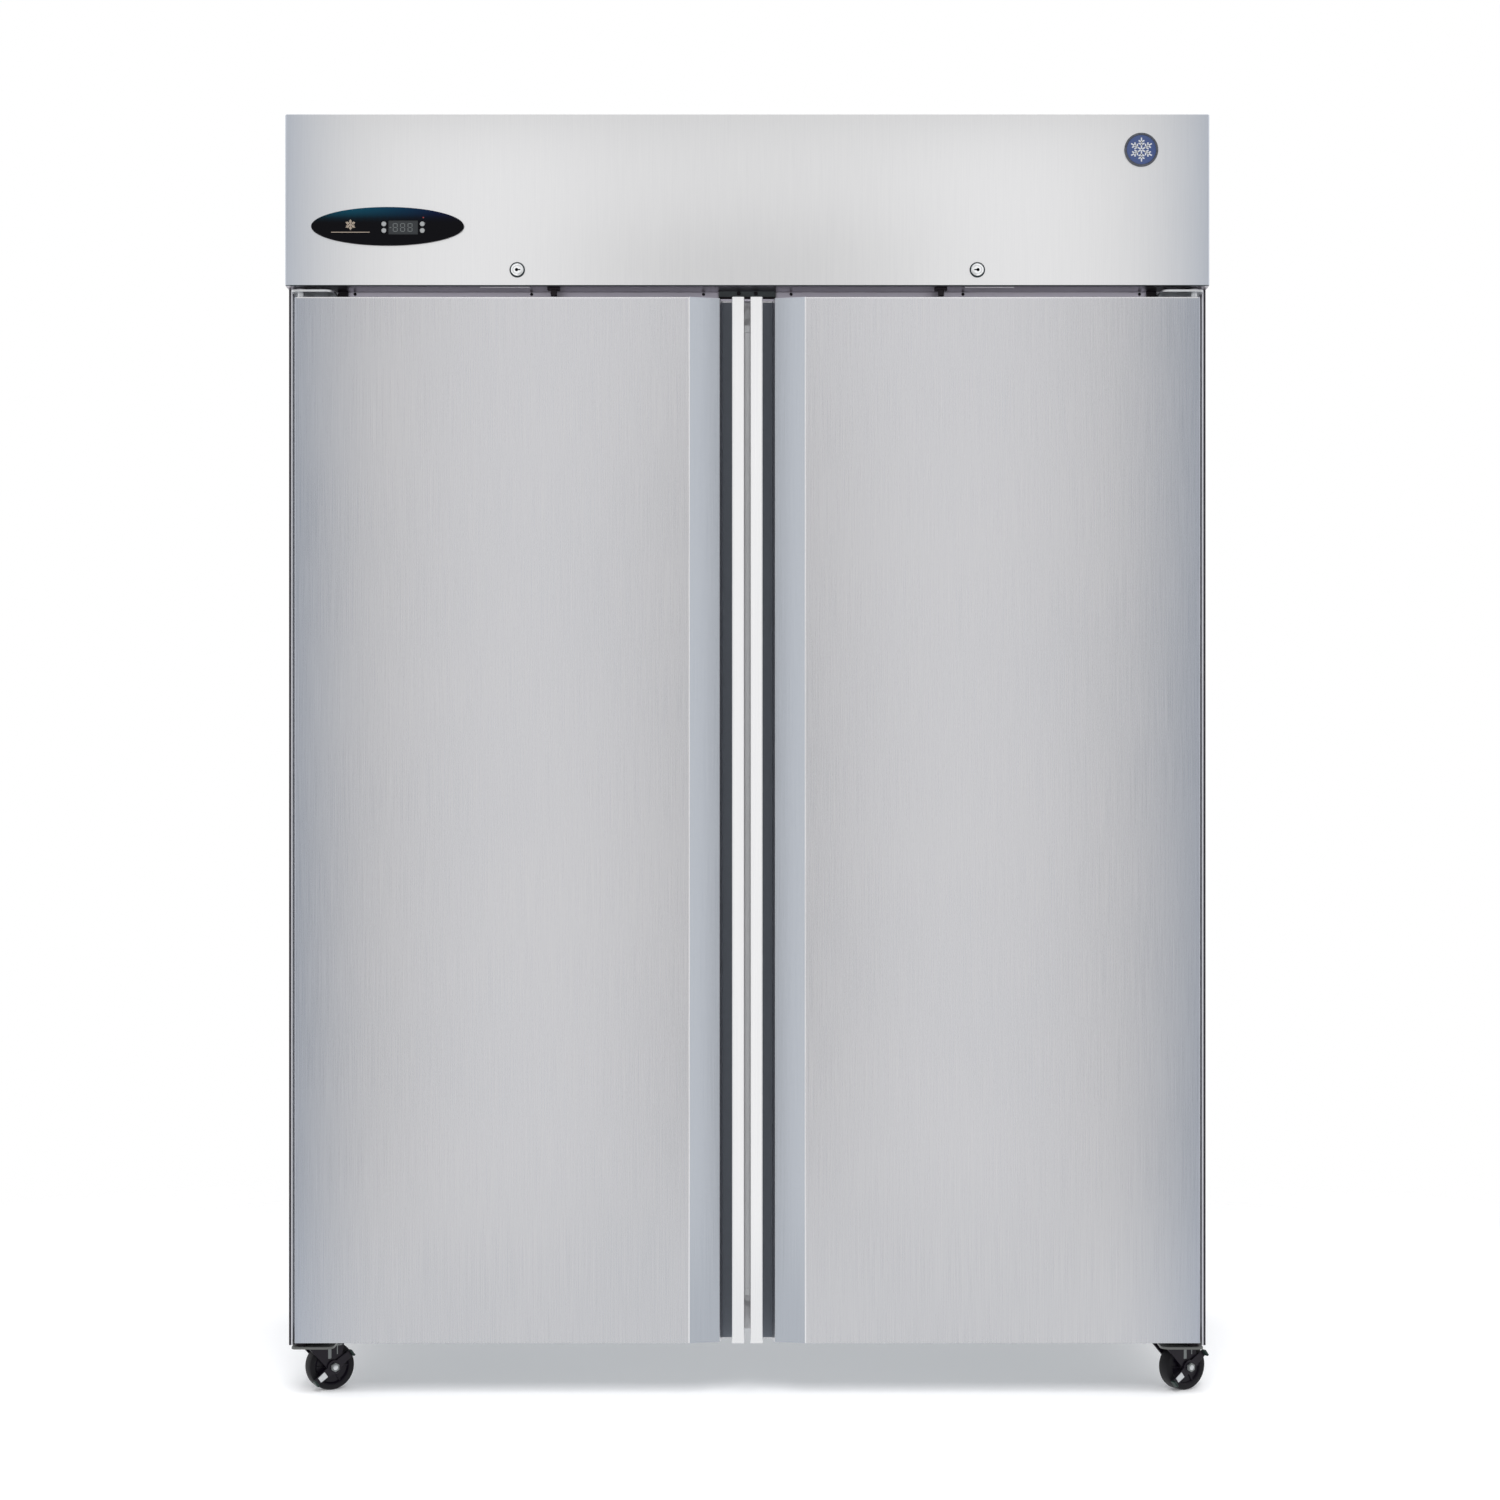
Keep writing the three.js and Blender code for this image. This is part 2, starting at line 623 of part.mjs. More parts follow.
// Evaporator housing: a pan under the ceiling of the cabinet, with a fan opening in front and a
// return slot underneath.
const evaporatorHousing = () => {
  const { halfX, frontY: y0, rearY: y1, lowZ } = evaporator;
  const inlet = { halfX: 200, near: 30, far: 90 }; // return slot, measured from the rear
  const topZ = cavity.highZ - gap;
  return cut(
    block(-halfX, halfX, y0, y1, lowZ, topZ),
    block(-halfX + sheet, halfX - sheet, y0 + sheet, y1 - sheet, lowZ + sheet, topZ + beyond),
    rodY(evaporatorFan.hole, y0 - 2, y0 + 4, evaporatorFan.x, evaporatorFan.z, 28),
    block(-inlet.halfX, inlet.halfX, y1 - inlet.far, y1 - inlet.near, lowZ - 1, lowZ + 2),
  );
};

const evaporatorCoil = () => {
  const coil = { halfX: 215, frontY: 90, rearY: 210 };
  const lowZ = evaporator.lowZ + 16;
  const highZ = cavity.highZ - 12;
  const sideSheet = (x) =>
    block(x, x + 2, coil.frontY - 3, coil.rearY + 3, lowZ - 6, highZ + 6);
  return join(
    block(-coil.halfX, coil.halfX, coil.frontY, coil.rearY, lowZ, highZ),
    sideSheet(-coil.halfX - 1), sideSheet(coil.halfX - 1),
  );
};

const addCoolingUnit = () => {
  add("compressor", compressor(), blackPaint())
    .position.set(compressorPlace.x, compressorPlace.y, deckZ + gap);
  add("condenser", condenserBlock(), aluminium());
  const { x, y, z, blade, hub } = condenserFan;
  add("condenser_fan", axialFan(blade, hub, 22, 5), blackPlastic()).position.set(x, y - 6, z);
  add("control_box", controlBox(), galvanised());
  add("power_gland", powerGland(), blackPlastic());
  add("evaporator_housing", evaporatorHousing(), stainless());
  add("evaporator_coil", evaporatorCoil(), aluminium());
  const small = evaporatorFan;
  add("evaporator_fan", axialFan(small.blade, small.hub, 16, 5), blackPlastic())
    .position.set(small.x, small.y + 16, small.z);
};

// ---- casters ------------------------------------------------------------------------------------
const plateTopZ = baseZ - gap;
const plateLowZ = plateTopZ - casterPlate.thick;

const topPlate = () => {
  const { halfX, halfY } = casterPlate;
  const shape = rectangle(-halfX, halfX, -halfY, halfY, 6);
  [-1, 1].forEach((sideX) => [-1, 1].forEach((sideY) => {
    const x = sideX * (halfX - 9);
    const y = sideY * (halfY - 9);
    shape.holes.push(new THREE.Path().absarc(x, y, 4.2, 0, 2 * Math.PI, true));
  }));
  return upright(shape, plateLowZ, plateTopZ, 3);
};

// Fork: a crown with the swivel race on it, two tapered legs, and the axle bolt through them.
const casterFork = () => {
  const { half, legIn, legOut, crownZ, crownThick, axleRadius } = fork;
  const { trail, axleZ } = caster;
  const foot = 10;
  const leg = outline([
    [-half, crownZ + 1], [-half, crownZ - 8, 5], [trail - foot, axleZ - 2, 3],
    [trail - 6, axleZ - foot, 4], [trail + 6, axleZ - foot, 4], [trail + foot, axleZ - 2, 3],
    [half, crownZ - 8, 5], [half, crownZ + 1],
  ]);
  const headOut = legOut + 9;
  return join(
    upright(rectangle(-half, half, -legOut, legOut, 8), crownZ, crownZ + crownThick, 2),
    facing(leg, -legOut, -legIn, 2),
    facing(leg, legIn, legOut, 2),
    rodZ(29, crownZ + 1, crownZ + 8, 0, 0, 20),
    rodZ(23, crownZ + 1, plateLowZ - gap, 0, 0, 16),
    rodY(axleRadius, -headOut + 1, headOut - 5, trail, axleZ, 10),
    rodY(7, -headOut, -legOut - 3.8, trail, axleZ, 6),
    rodY(7, legOut - 0.5, headOut - 4, trail, axleZ, 6),
  );
};

// Wheel: a solid hub and tread, about its own axle.
const casterWheel = () => {
  const { radius, sides } = caster;
  const half = [
    [fork.axleRadius + 0.5, -12.5], [10, -12.5], [12, -8], [26, -8], [28, -12], [34.5, -12],
    [radius, -9],
  ];
  const profile = [...half, ...half.map(([r, y]) => [r, -y]).reverse(), half[0]];
  return turned(profile, sides).rotateY(Math.PI / sides);
};

// Brake: a rocker on the axle with a pedal tab at each end, the lower one the longer.
const casterBrake = () => {
  const { trail, axleZ } = caster;
  const lowReach = 40;
  const highReach = 36;
  const tabDeep = 7;
  const y0 = -fork.legOut - 3.3;
  const y1 = -fork.legOut - gap;
  const bar = facing(rectangle(-lowReach, highReach, -6, 6, 3), y0, y1, 2);
  const tab = (x) => block(x - 1.5, x + 1.5, y0 - tabDeep, y1, -5, 5);
  const hub = rodY(11, y0, y1, 0, 0, 16);
  const bore = rodY(fork.axleRadius + 0.5, y0 - 1, y1 + 1, 0, 0, 12);
  return cut(join(bar, tab(-lowReach + 1.5), tab(highReach - 1.5), hub), bore)
    .rotateY(-THREE.MathUtils.degToRad(36))
    .translate(trail, 0, axleZ);
};

const addCaster = (place, x, y, yawDegrees, withBrake) => {
  add(`caster_plate_${place}`, topPlate(), zinc()).position.set(x, y, 0);
  const swivel = new THREE.Group();
  swivel.position.set(x, y, 0);
  swivel.rotation.z = THREE.MathUtils.degToRad(yawDegrees);
  object.add(swivel);
  add(`caster_fork_${place}`, casterFork(), blackPaint(), swivel);
  add(`caster_wheel_${place}`, casterWheel(), blackPlastic(), swivel)
    .position.set(caster.trail, 0, caster.axleZ);
  if (withBrake) add(`caster_brake_${place}`, casterBrake(), blackPaint(), swivel);
};

const addCasters = () => {
  addCaster("front_left", -caster.x, caster.frontY, 30, true);
  addCaster("front_right", caster.x, caster.frontY, 30, true);
  addCaster("rear_left", -caster.x, caster.rearY, 150, false);
  addCaster("rear_right", caster.x, caster.rearY, 75, false);
};

addCabinet();
addDoors();
addHeader();
addCoolingUnit();
addCasters();

export default object;
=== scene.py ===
import math

import bmesh
import bpy
from mathutils import Matrix, Vector


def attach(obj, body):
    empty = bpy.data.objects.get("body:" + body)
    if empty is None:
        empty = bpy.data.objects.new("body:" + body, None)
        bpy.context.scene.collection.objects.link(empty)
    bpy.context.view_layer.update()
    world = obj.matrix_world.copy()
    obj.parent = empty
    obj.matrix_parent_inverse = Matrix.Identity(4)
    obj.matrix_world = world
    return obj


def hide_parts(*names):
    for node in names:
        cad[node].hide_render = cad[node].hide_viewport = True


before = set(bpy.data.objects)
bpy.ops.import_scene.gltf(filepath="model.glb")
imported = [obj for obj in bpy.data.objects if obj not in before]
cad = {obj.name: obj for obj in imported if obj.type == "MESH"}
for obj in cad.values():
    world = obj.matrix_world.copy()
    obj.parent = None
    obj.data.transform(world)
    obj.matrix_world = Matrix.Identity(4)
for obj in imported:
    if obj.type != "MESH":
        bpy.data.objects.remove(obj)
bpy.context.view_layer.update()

# ---- studio -------------------------------------------------------------------------------------
# A white room with a pale floor disc that fades into the air round it, and a camera straight in
# front. An upright softbox faces each door, small ones face the header and the handles, and a high
# one lights only the floor.
eye_height = 0.911
camera_to_doors = 4.5
doors_y = -0.401
lens, lens_shift = 71.5, (0.0018, 0.0333)
white = (1, 1, 1, 1)
floor_reach = (1.15, 2.6)  # where the floor starts to fade, and where it ends
floor_glow = 0.12
room_light = (0.57, 0.95)  # in front of the doors, and behind them
floor_light = 0.85
front_y = -1.95
door_softbox = ((0.56, 2.9), (0.68, front_y, 1.3), 2.05)  # size, place and power
header_softbox = ((0.7, 0.8), (0, front_y, 2.35), 0.35)
handle_softbox = ((0.7, 3), (0, front_y, 0.95), 2.3)
floor_softbox = ((2.2, 2.2), (0, -4.6, 3.6), 240)
floor_tilt = 0.87
floor_paint, floor_haze, floor_mirrored = (0.93, 0.935, 0.95, 1), (0.985, 0.99, 1, 1), (0.98, 0.99, 1, 1)

scene = bpy.context.scene
scene.view_settings.view_transform = "Standard"
view = bpy.data.cameras.new("camera")
view.sensor_width = 36
view.lens = lens
view.shift_x, view.shift_y = lens_shift
camera = bpy.data.objects.new("camera", view)
camera.location = (0, doors_y - camera_to_doors, eye_height)
camera.rotation_euler = (math.pi / 2, 0, 0)
scene.collection.objects.link(camera)
scene.camera = camera


def node(tree, kind, sockets=None, **settings):
    """A new shader node. A socket is given a value, another node's output, or a node whose first
    output is linked to it."""
    made = tree.nodes.new(f"ShaderNode{kind}")
    for name, value in settings.items():
        setattr(made, name, value)
    for key, value in (sockets or {}).items():
        if isinstance(value, bpy.types.Node):
            value = value.outputs[0]
        if isinstance(value, bpy.types.NodeSocket):
            tree.links.new(value, made.inputs[key])
        else:
            made.inputs[key].default_value = value
    return made


room = bpy.data.worlds.new("white_room")
scene.world = room
room.use_nodes = True
air = room.node_tree
air.nodes.clear()
facing = node(air, "TexCoord").outputs["Generated"]
split = node(air, "SeparateXYZ", {0: facing})
depth_light = node(
    air, "MapRange",
    {"Value": split.outputs["Y"], "From Min": -1, "From Max": 0.1, "To Min": room_light[0],
     "To Max": room_light[1]},
)
lit = node(air, "Background", {"Strength": depth_light, "Color": white})
seen = node(air, "Background", {"Strength": 1.0, "Color": white})
pick = node(air, "MixShader", {0: node(air, "LightPath").outputs["Is Camera Ray"], 1: lit, 2: seen})
node(air, "OutputWorld", {"Surface": pick})


def softbox(name, size, place, turn, power):
    lamp = bpy.data.lights.new(name, "AREA")
    lamp.shape = "RECTANGLE"
    lamp.size, lamp.size_y = size
    lamp.energy = power
    holder = bpy.data.objects.new(name, lamp)
    holder.location = place
    holder.rotation_euler = turn
    holder.visible_camera = False
    scene.collection.objects.link(holder)
    return holder


facing_doors = (math.pi / 2, 0, 0)
size, place, power = door_softbox
for hand in (-1, 1):
    softbox(f"door_softbox_{hand + 2}", size, (hand * place[0], *place[1:]), facing_doors, power)
size, place, power = header_softbox
softbox("header_softbox", size, place, facing_doors, power)

floor_bm = bmesh.new()
bmesh.ops.create_circle(floor_bm, cap_ends=True, segments=64, radius=floor_reach[1])
floor_mesh = bpy.data.meshes.new("floor")
floor_bm.to_mesh(floor_mesh)
floor_bm.free()
floor = bpy.data.objects.new("floor", floor_mesh)
scene.collection.objects.link(floor)
pale = bpy.data.materials.new("pale_floor")
pale.use_nodes = True
tree = pale.node_tree
tree.nodes.clear()
from_middle = node(tree, "TexCoord").outputs["Object"]
spread = node(tree, "VectorMath", {0: from_middle}, operation="LENGTH")
fade = node(
    tree, "MapRange",
    {"Value": spread.outputs["Value"], "From Min": floor_reach[0], "From Max": floor_reach[1], "To Min": 1,
     "To Max": 0},
    interpolation_type="SMOOTHSTEP",
)
paint = node(tree, "BsdfDiffuse", {"Color": floor_paint})
glow = node(tree, "Emission", {"Color": floor_haze, "Strength": floor_glow})
paint = node(tree, "AddShader", {0: paint, 1: glow})
mirrored = node(tree, "Emission", {"Color": floor_mirrored, "Strength": floor_light})
paint = node(
    tree, "MixShader",
    {0: node(tree, "LightPath").outputs["Is Camera Ray"], 1: mirrored, 2: paint},
)
clear = node(tree, "BsdfTransparent")
blend = node(tree, "MixShader", {0: fade, 1: clear, 2: paint})
node(tree, "OutputMaterial", {"Surface": blend})
floor_mesh.materials.append(pale)
ground = bpy.data.collections.new("ground")
ground.objects.link(floor)
size, place, power = floor_softbox
softbox("floor_softbox", size, place, (floor_tilt, 0, 0), power).light_linking.receiver_collection = ground

# ---- side panels --------------------------------------------------------------------------------
# Two sheets of anodised aluminium with a fine upright grain, folded in at the front and the back to
# make the flanges that the liner and the back are screwed to.


def new_group(name, inputs, outputs):
    """A shader node group with named sockets, and its input and output nodes."""
    tree = bpy.data.node_groups.new(name, "ShaderNodeTree")
    for label, kind in inputs:
        tree.interface.new_socket(label, in_out="INPUT", socket_type=f"NodeSocket{kind}")
    for label, kind in outputs:
        tree.interface.new_socket(label, in_out="OUTPUT", socket_type=f"NodeSocket{kind}")
    return tree, tree.nodes.new("NodeGroupInput").outputs, tree.nodes.new("NodeGroupOutput")


SURFACE_OUTPUTS = [("Color", "Color"), ("Roughness", "Float"), ("Height", "Float")]
ROUGHNESS_INPUTS = [("Roughness", "Float"), ("Roughness Spread", "Float")]


def close_group(tree, given, out, tint, uneven, height):
    """Wires a surface group's outputs: its colour, a roughness that follows uneven, and its height."""
    rough = node(
        tree, "Math", {0: uneven, 1: given["Roughness Spread"], 2: given["Roughness"]},
        operation="MULTIPLY_ADD",
    )
    for label, source in (("Color", tint.outputs[2]), ("Roughness", rough.outputs[0]), ("Height", height)):
        tree.links.new(source, out.inputs[label])
    return tree


def build_brushed_grain():
    """Grain lines drawn out along one way, over broad clouds where the sheet has been wiped."""
    tree, given, out = new_group(
        "brushed_grain",
        [("Light", "Color"), ("Dark", "Color"), ("Grain Scale", "Vector"), ("Cloud Scale", "Float")]
        + ROUGHNESS_INPUTS,
        SURFACE_OUTPUTS,
    )
    spot = node(tree, "TexCoord").outputs["Object"]
    drawn = node(tree, "VectorMath", {0: spot, 1: given["Grain Scale"]}, operation="MULTIPLY")
    grain = node(tree, "TexNoise", {"Vector": drawn, "Scale": 1, "Detail": 3, "Roughness": 0.65})
    cloud = node(tree, "TexNoise", {"Vector": spot, "Scale": given["Cloud Scale"], "Detail": 2})
    both = node(tree, "Mix", {0: 0.3, 2: grain, 3: cloud}, data_type="FLOAT")
    mask = node(tree, "MapRange", {"Value": both, "From Min": 0.3, "From Max": 0.7})
    tint = node(tree, "Mix", {0: mask, 6: given["Dark"], 7: given["Light"]}, data_type="RGBA")
    away = node(tree, "Math", {0: mask, 1: 0.5}, operation="SUBTRACT")
    return close_group(tree, given, out, tint, away, grain.outputs[0])


def build_handled_coat():
    """A painted or moulded surface: fine speckle, and dust that settles on what faces up."""
    tree, given, out = new_group(
        "handled_coat",
        [("Clean", "Color"), ("Dust", "Color"), ("Dust Amount", "Float"), ("Speckle Scale", "Float")]
        + ROUGHNESS_INPUTS,
        SURFACE_OUTPUTS,
    )
    spot = node(tree, "TexCoord").outputs["Object"]
    speckle = node(tree, "TexNoise", {"Vector": spot, "Scale": given["Speckle Scale"], "Detail": 3})
    patch = node(tree, "TexNoise", {"Vector": spot, "Scale": 14, "Detail": 4})
    up = node(tree, "SeparateXYZ", {0: node(tree, "NewGeometry").outputs["Normal"]})
    rest = node(
        tree, "MapRange",
        {"Value": up.outputs["Z"], "From Min": -0.2, "From Max": 1, "To Min": 0.25, "To Max": 1},
    )
    dusty = node(tree, "Math", {0: rest, 1: patch}, operation="MULTIPLY")
    share = node(tree, "Math", {0: dusty, 1: given["Dust Amount"]}, operation="MULTIPLY", use_clamp=True)
    tint = node(tree, "Mix", {0: share, 6: given["Clean"], 7: given["Dust"]}, data_type="RGBA")
    mixed = node(tree, "Mix", {0: 0.5, 2: patch, 3: speckle}, data_type="FLOAT")
    away = node(tree, "Math", {0: mixed, 1: 0.5}, operation="SUBTRACT")
    return close_group(tree, given, out, tint, away, speckle.outputs[0])


brushed_grain = build_brushed_grain()
handled_coat = build_handled_coat()


def finish_with(name, effect, effect_values, bump, **shader_values):
    """A material: one effect group, a bump and a Principled shader with these fixed values."""
    material = bpy.data.materials.new(name)
    material.use_nodes = True
    tree = material.node_tree
    shader = tree.nodes["Principled BSDF"]
    look = node(tree, "Group", node_tree=effect)
    for label, value in effect_values.items():
        look.inputs[label].default_value = value
    strength, depth = bump
    relief = node(
        tree, "Bump",
        {"Height": look.outputs["Height"], "Strength": strength, "Distance": depth},
    )
    tree.links.new(look.outputs["Color"], shader.inputs["Base Color"])
    tree.links.new(look.outputs["Roughness"], shader.inputs["Roughness"])
    tree.links.new(relief.outputs[0], shader.inputs["Normal"])
    for label, value in shader_values.items():
        shader.inputs[label.replace("_", " ")].default_value = value
    return material


def brushed(name, light, dark, grain, roughness, spread=0.1, cloud=2.5, bump=(0.25, 0.0002), **more):
    values = {
        "Light": (*light, 1), "Dark": (*dark, 1), "Grain Scale": grain, "Cloud Scale": cloud,
        "Roughness": roughness, "Roughness Spread": spread,
    }
    return finish_with(name, brushed_grain, values, bump, Metallic=1.0, **more)


def coated(name, clean, dust, amount, speckle, roughness, spread=0.15, bump=(0.2, 0.0003), **more):
    values = {
        "Clean": (*clean, 1), "Dust": (*dust, 1), "Dust Amount": amount, "Speckle Scale": speckle,
        "Roughness": roughness, "Roughness Spread": spread,
    }
    return finish_with(name, handled_coat, values, bump, **more)


def along_axes(tree):
    """The Object coordinates, split into X, Y and Z."""
    return node(tree, "SeparateXYZ", {0: node(tree, "TexCoord").outputs["Object"]}).outputs


def tint_over(material, mask, tint, **way):
    """Lays a colour over a material's own by a mask."""
    tree = material.node_tree
    base = tree.nodes["Principled BSDF"].inputs["Base Color"]
    mixed = node(tree, "Mix", {0: mask, 6: base.links[0].from_socket, 7: tint}, data_type="RGBA", **way)
    tree.links.new(mixed.outputs[2], base)


def restain(material, stain, axis, start, end):
    """Recolours a material where an Object coordinate lies beyond start, fully by end."""
    tree = material.node_tree
    place = along_axes(tree)[axis]
    mask = node(tree, "MapRange", {"Value": place, "From Min": start, "From Max": end})
    tint_over(material, mask, (*stain, 1))


UPRIGHT_GRAIN = (900, 900, 7)
CROSS_GRAIN = (7, 900, 900)

anodised = brushed("anodised_side", (0.62, 0.63, 0.65), (0.5, 0.51, 0.53), UPRIGHT_GRAIN, 0.42)


def wear(material, *node_names):
    """Gives CAD nodes a finished material in place of their plain one."""
    for name in node_names:
        mesh = cad[name].data
        mesh.materials.clear()
        mesh.materials.append(material)


wear(anodised, "side_panel_left", "side_panel_right")

# ---- back, top and bottom sheets ----------------------------------------------------------------
# Galvanised sheet steel, screwed inside the side panels. Its zinc has frozen in a spangle, and the
# front edges of the top and bottom sheets are faced with a paler strip.


def build_spangle():
    """Zinc crystals a few millimetres across, each with its own shade, under a thin dull bloom."""
    tree, given, out = new_group(
        "zinc_spangle",
        [("Light", "Color"), ("Dark", "Color"), ("Crystal Scale", "Float")] + ROUGHNESS_INPUTS,
        SURFACE_OUTPUTS,
    )
    spot = node(tree, "TexCoord").outputs["Object"]
    crystal = node(tree, "TexVoronoi", {"Vector": spot, "Scale": given["Crystal Scale"]})
    shade = node(tree, "SeparateColor", {0: crystal.outputs["Color"]})
    bloom = node(tree, "TexNoise", {"Vector": spot, "Scale": 9, "Detail": 5})
    both = node(tree, "Mix", {0: 0.45, 2: shade, 3: bloom}, data_type="FLOAT")
    tint = node(tree, "Mix", {0: both, 6: given["Dark"], 7: given["Light"]}, data_type="RGBA")
    return close_group(tree, given, out, tint, both, shade.outputs[1])


zinc_spangle = build_spangle()


def galvanised(name, light, dark, scale, roughness=0.38):
    values = {
        "Light": (*light, 1), "Dark": (*dark, 1), "Crystal Scale": scale, "Roughness": roughness,
        "Roughness Spread": 0.2,
    }
    return finish_with(name, zinc_spangle, values, (0.08, 0.0002), Metallic=0.9)


zinc_colours = (0.66, 0.68, 0.69), (0.42, 0.44, 0.46)
front_edge = (-0.3385, -0.3395)  # y where a sheet's front edge starts, and is fully reached
galvanised_sheet = galvanised("galvanised_sheet", *zinc_colours, 110)
faced_sheet = galvanised("faced_sheet", *zinc_colours, 110)
restain(faced_sheet, (0.72, 0.72, 0.74), "Y", *front_edge)
wear(galvanised_sheet, "back_panel")
wear(faced_sheet, "deck_panel", "base_panel")
foam = coated("pale_foam", (0.78, 0.66, 0.36), (0.6, 0.48, 0.22), 0.5, 400, 0.9, bump=(0.6, 0.001))
wear(foam, "insulation", "door_core_left", "door_core_right")

# ---- door skins ---------------------------------------------------------------------------------
# Stainless sheet folded into a pan, with its grain upright. A hand recess is pressed down the free
# side, and the pan's rear is turned in over the liner. Painted light on it: shade towards the hinge
# edge, a highlight on the top bend and the recess's outer bend, shade on the recess's slope, and a
# dark strip of painted shadow along the recess floor.
MM = 0.001
door_low, door_high = 90.3, 1671
door_front, door_back = -401, -351
door_hinge_x, door_free_x = -684, -8.3
recess_start, recess_step, recess_floor = (-88, 0), (-41.5, 12), (-38.5, 41)  # x, and how deep
cam_slot = ((-397.5, -387.5, door_high - 1), (-337.5, -380.5, door_high + 1))
cam_slot_deep = 24
end_bend, bend_half, rear_turn_in, rear_inset = 2, 1.2, 1.6, 1.2


def verts_in(geom):
    return [item for item in geom if isinstance(item, bmesh.types.BMVert)]


def faces_round(verts):
    return list({f for v in verts for f in v.link_faces})


def paint_faces(faces, material):
    for face in faces:
        face.material_index = material


def plan_solid(bm, corners, low, high, place=lambda a, b, h: (a, b, h), material=0):
    """A solid from a plan of (a, b, radius) corners, extruded from low to high along the third way.
    Corners with a radius are rounded by a bevel. place turns a, b, height into x, y, z."""
    base = [bm.verts.new(place(a, b, low)) for a, b, _ in corners]
    sole = bm.faces.new(base)
    made = bmesh.ops.extrude_face_region(bm, geom=[sole])
    raised = verts_in(made["geom"])
    lift = Vector(place(0, 0, high)) - Vector(place(0, 0, low))
    bmesh.ops.translate(bm, vec=lift, verts=raised)
    verts = set(base) | set(raised)
    count = len(corners)
    for index, (a, b, radius) in enumerate(corners):
        if not radius:
            continue
        before = Vector(corners[index - 1][:2]) - Vector((a, b))
        after = Vector(corners[(index + 1) % count][:2]) - Vector((a, b))
        reach = radius / math.tan(before.angle(after) / 2)
        foot = base[index]
        edge = next(e for e in foot.link_edges if (e.other_vert(foot).co - foot.co - lift).length < 1e-4)
        rounded = bmesh.ops.bevel(
            bm, geom=[edge], offset=reach, affect="EDGES", segments=6, profile=0.5, material=-1,
        )
        verts |= set(rounded["verts"])
    verts = [v for v in verts if v.is_valid]
    faces = faces_round(verts)
    bmesh.ops.recalc_face_normals(bm, faces=faces)
    paint_faces(faces, material)
    return verts


def front_view(x, z, y):
    """Place for a shape drawn as seen from the front, x and z, and extruded along y."""
    return (x, y, z)


def round_edges(bm, chosen, radius, segments=3):
    """Bevels the edges for which chosen(middle, direction) holds."""
    edges = []
    for edge in bm.edges:
        one, two = (v.co for v in edge.verts)
        if edge.calc_length() > 1e-4 and chosen((one + two) / 2, (two - one).normalized()):
            edges.append(edge)
    bmesh.ops.bevel(bm, geom=edges, offset=radius, affect="EDGES", segments=segments, profile=0.5, material=-1)


def cut_window(bm, low, high, axis=2):
    """Cuts the outline of a box's shadow into the faces across one axis, and returns what is inside."""
    def across():
        return [
            f for f in bm.faces
            if low[axis] < f.calc_center_median()[axis] < high[axis] and abs(f.normal[axis]) > 0.9
        ]
    for other in {0, 1, 2} - {axis}:
        for corner in (low, high):
            normal = [0, 0, 0]
            normal[other] = 1
            faces = across()
            around = {e for f in faces for e in f.edges} | {v for f in faces for v in f.verts}
            bmesh.ops.bisect_plane(bm, geom=faces + list(around), plane_co=corner, plane_no=normal)
    return [
        f for f in across() if all(low[i] < f.calc_center_median()[i] < high[i] for i in range(3))
    ]


def sink(bm, faces, shift):
    """Pushes faces in to make a pocket with walls."""
    made = bmesh.ops.extrude_face_region(bm, geom=faces)
    bmesh.ops.translate(bm, vec=shift, verts=verts_in(made["geom"]))
    bmesh.ops.delete(bm, geom=faces, context="FACES")


def finish_piece(name, bm, finishes, body, slot, stands_for=(), mirrored=False, sharp=35, edge=0.0):
    """Scales a mesh drawn in millimetres to metres, and makes it a piece that rides on a body."""
    if mirrored:
        bmesh.ops.scale(bm, vec=(-1, 1, 1), verts=bm.verts)
        bmesh.ops.reverse_faces(bm, faces=bm.faces)
    bmesh.ops.scale(bm, vec=(MM, MM, MM), verts=bm.verts)
    for face in bm.faces:
        face.smooth = True
    mesh = bpy.data.meshes.new(name)
    bm.to_mesh(mesh)
    bm.free()
    mesh.set_sharp_from_angle(angle=math.radians(sharp))
    for finish in finishes:
        mesh.materials.append(finish)
    piece = bpy.data.objects.new(name, mesh)
    scene.collection.objects.link(piece)
    if edge:
        rounding = piece.modifiers.new("edge", "BEVEL")
        rounding.width = edge * MM
        rounding.segments = 2
        rounding.limit_method = "ANGLE"
        rounding.angle_limit = math.radians(sharp)
    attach(piece, body)
    if stands_for:
        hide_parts(*stands_for)
    return piece


def finish_pair(name, make, finishes, body, slot, stands_for=(), **more):
    """A left piece and its mirror image; a {} in a body or a node is left or right."""
    for side in ("left", "right"):
        nodes = [each.format(side) for each in stands_for]
        rides_on, mirrored = body.format(side), side == "right"
        finish_piece(f"{side}_{name}", make(), finishes, rides_on, slot, nodes, mirrored, **more)


def painted_edge_shade(material, outer, reach, fall, shade):
    """Paints shade into a material towards both ends of the cabinet's width, darker and bluer at the ends."""
    tree = material.node_tree
    aside = node(tree, "Math", {0: along_axes(tree)["X"]}, operation="ABSOLUTE")
    near = node(tree, "MapRange", {"Value": aside, "From Min": outer - reach, "From Max": outer})
    mask = node(tree, "Math", {0: near, 1: fall}, operation="POWER")
    tint_over(material, mask, (*shade, 1), blend_type="MULTIPLY")


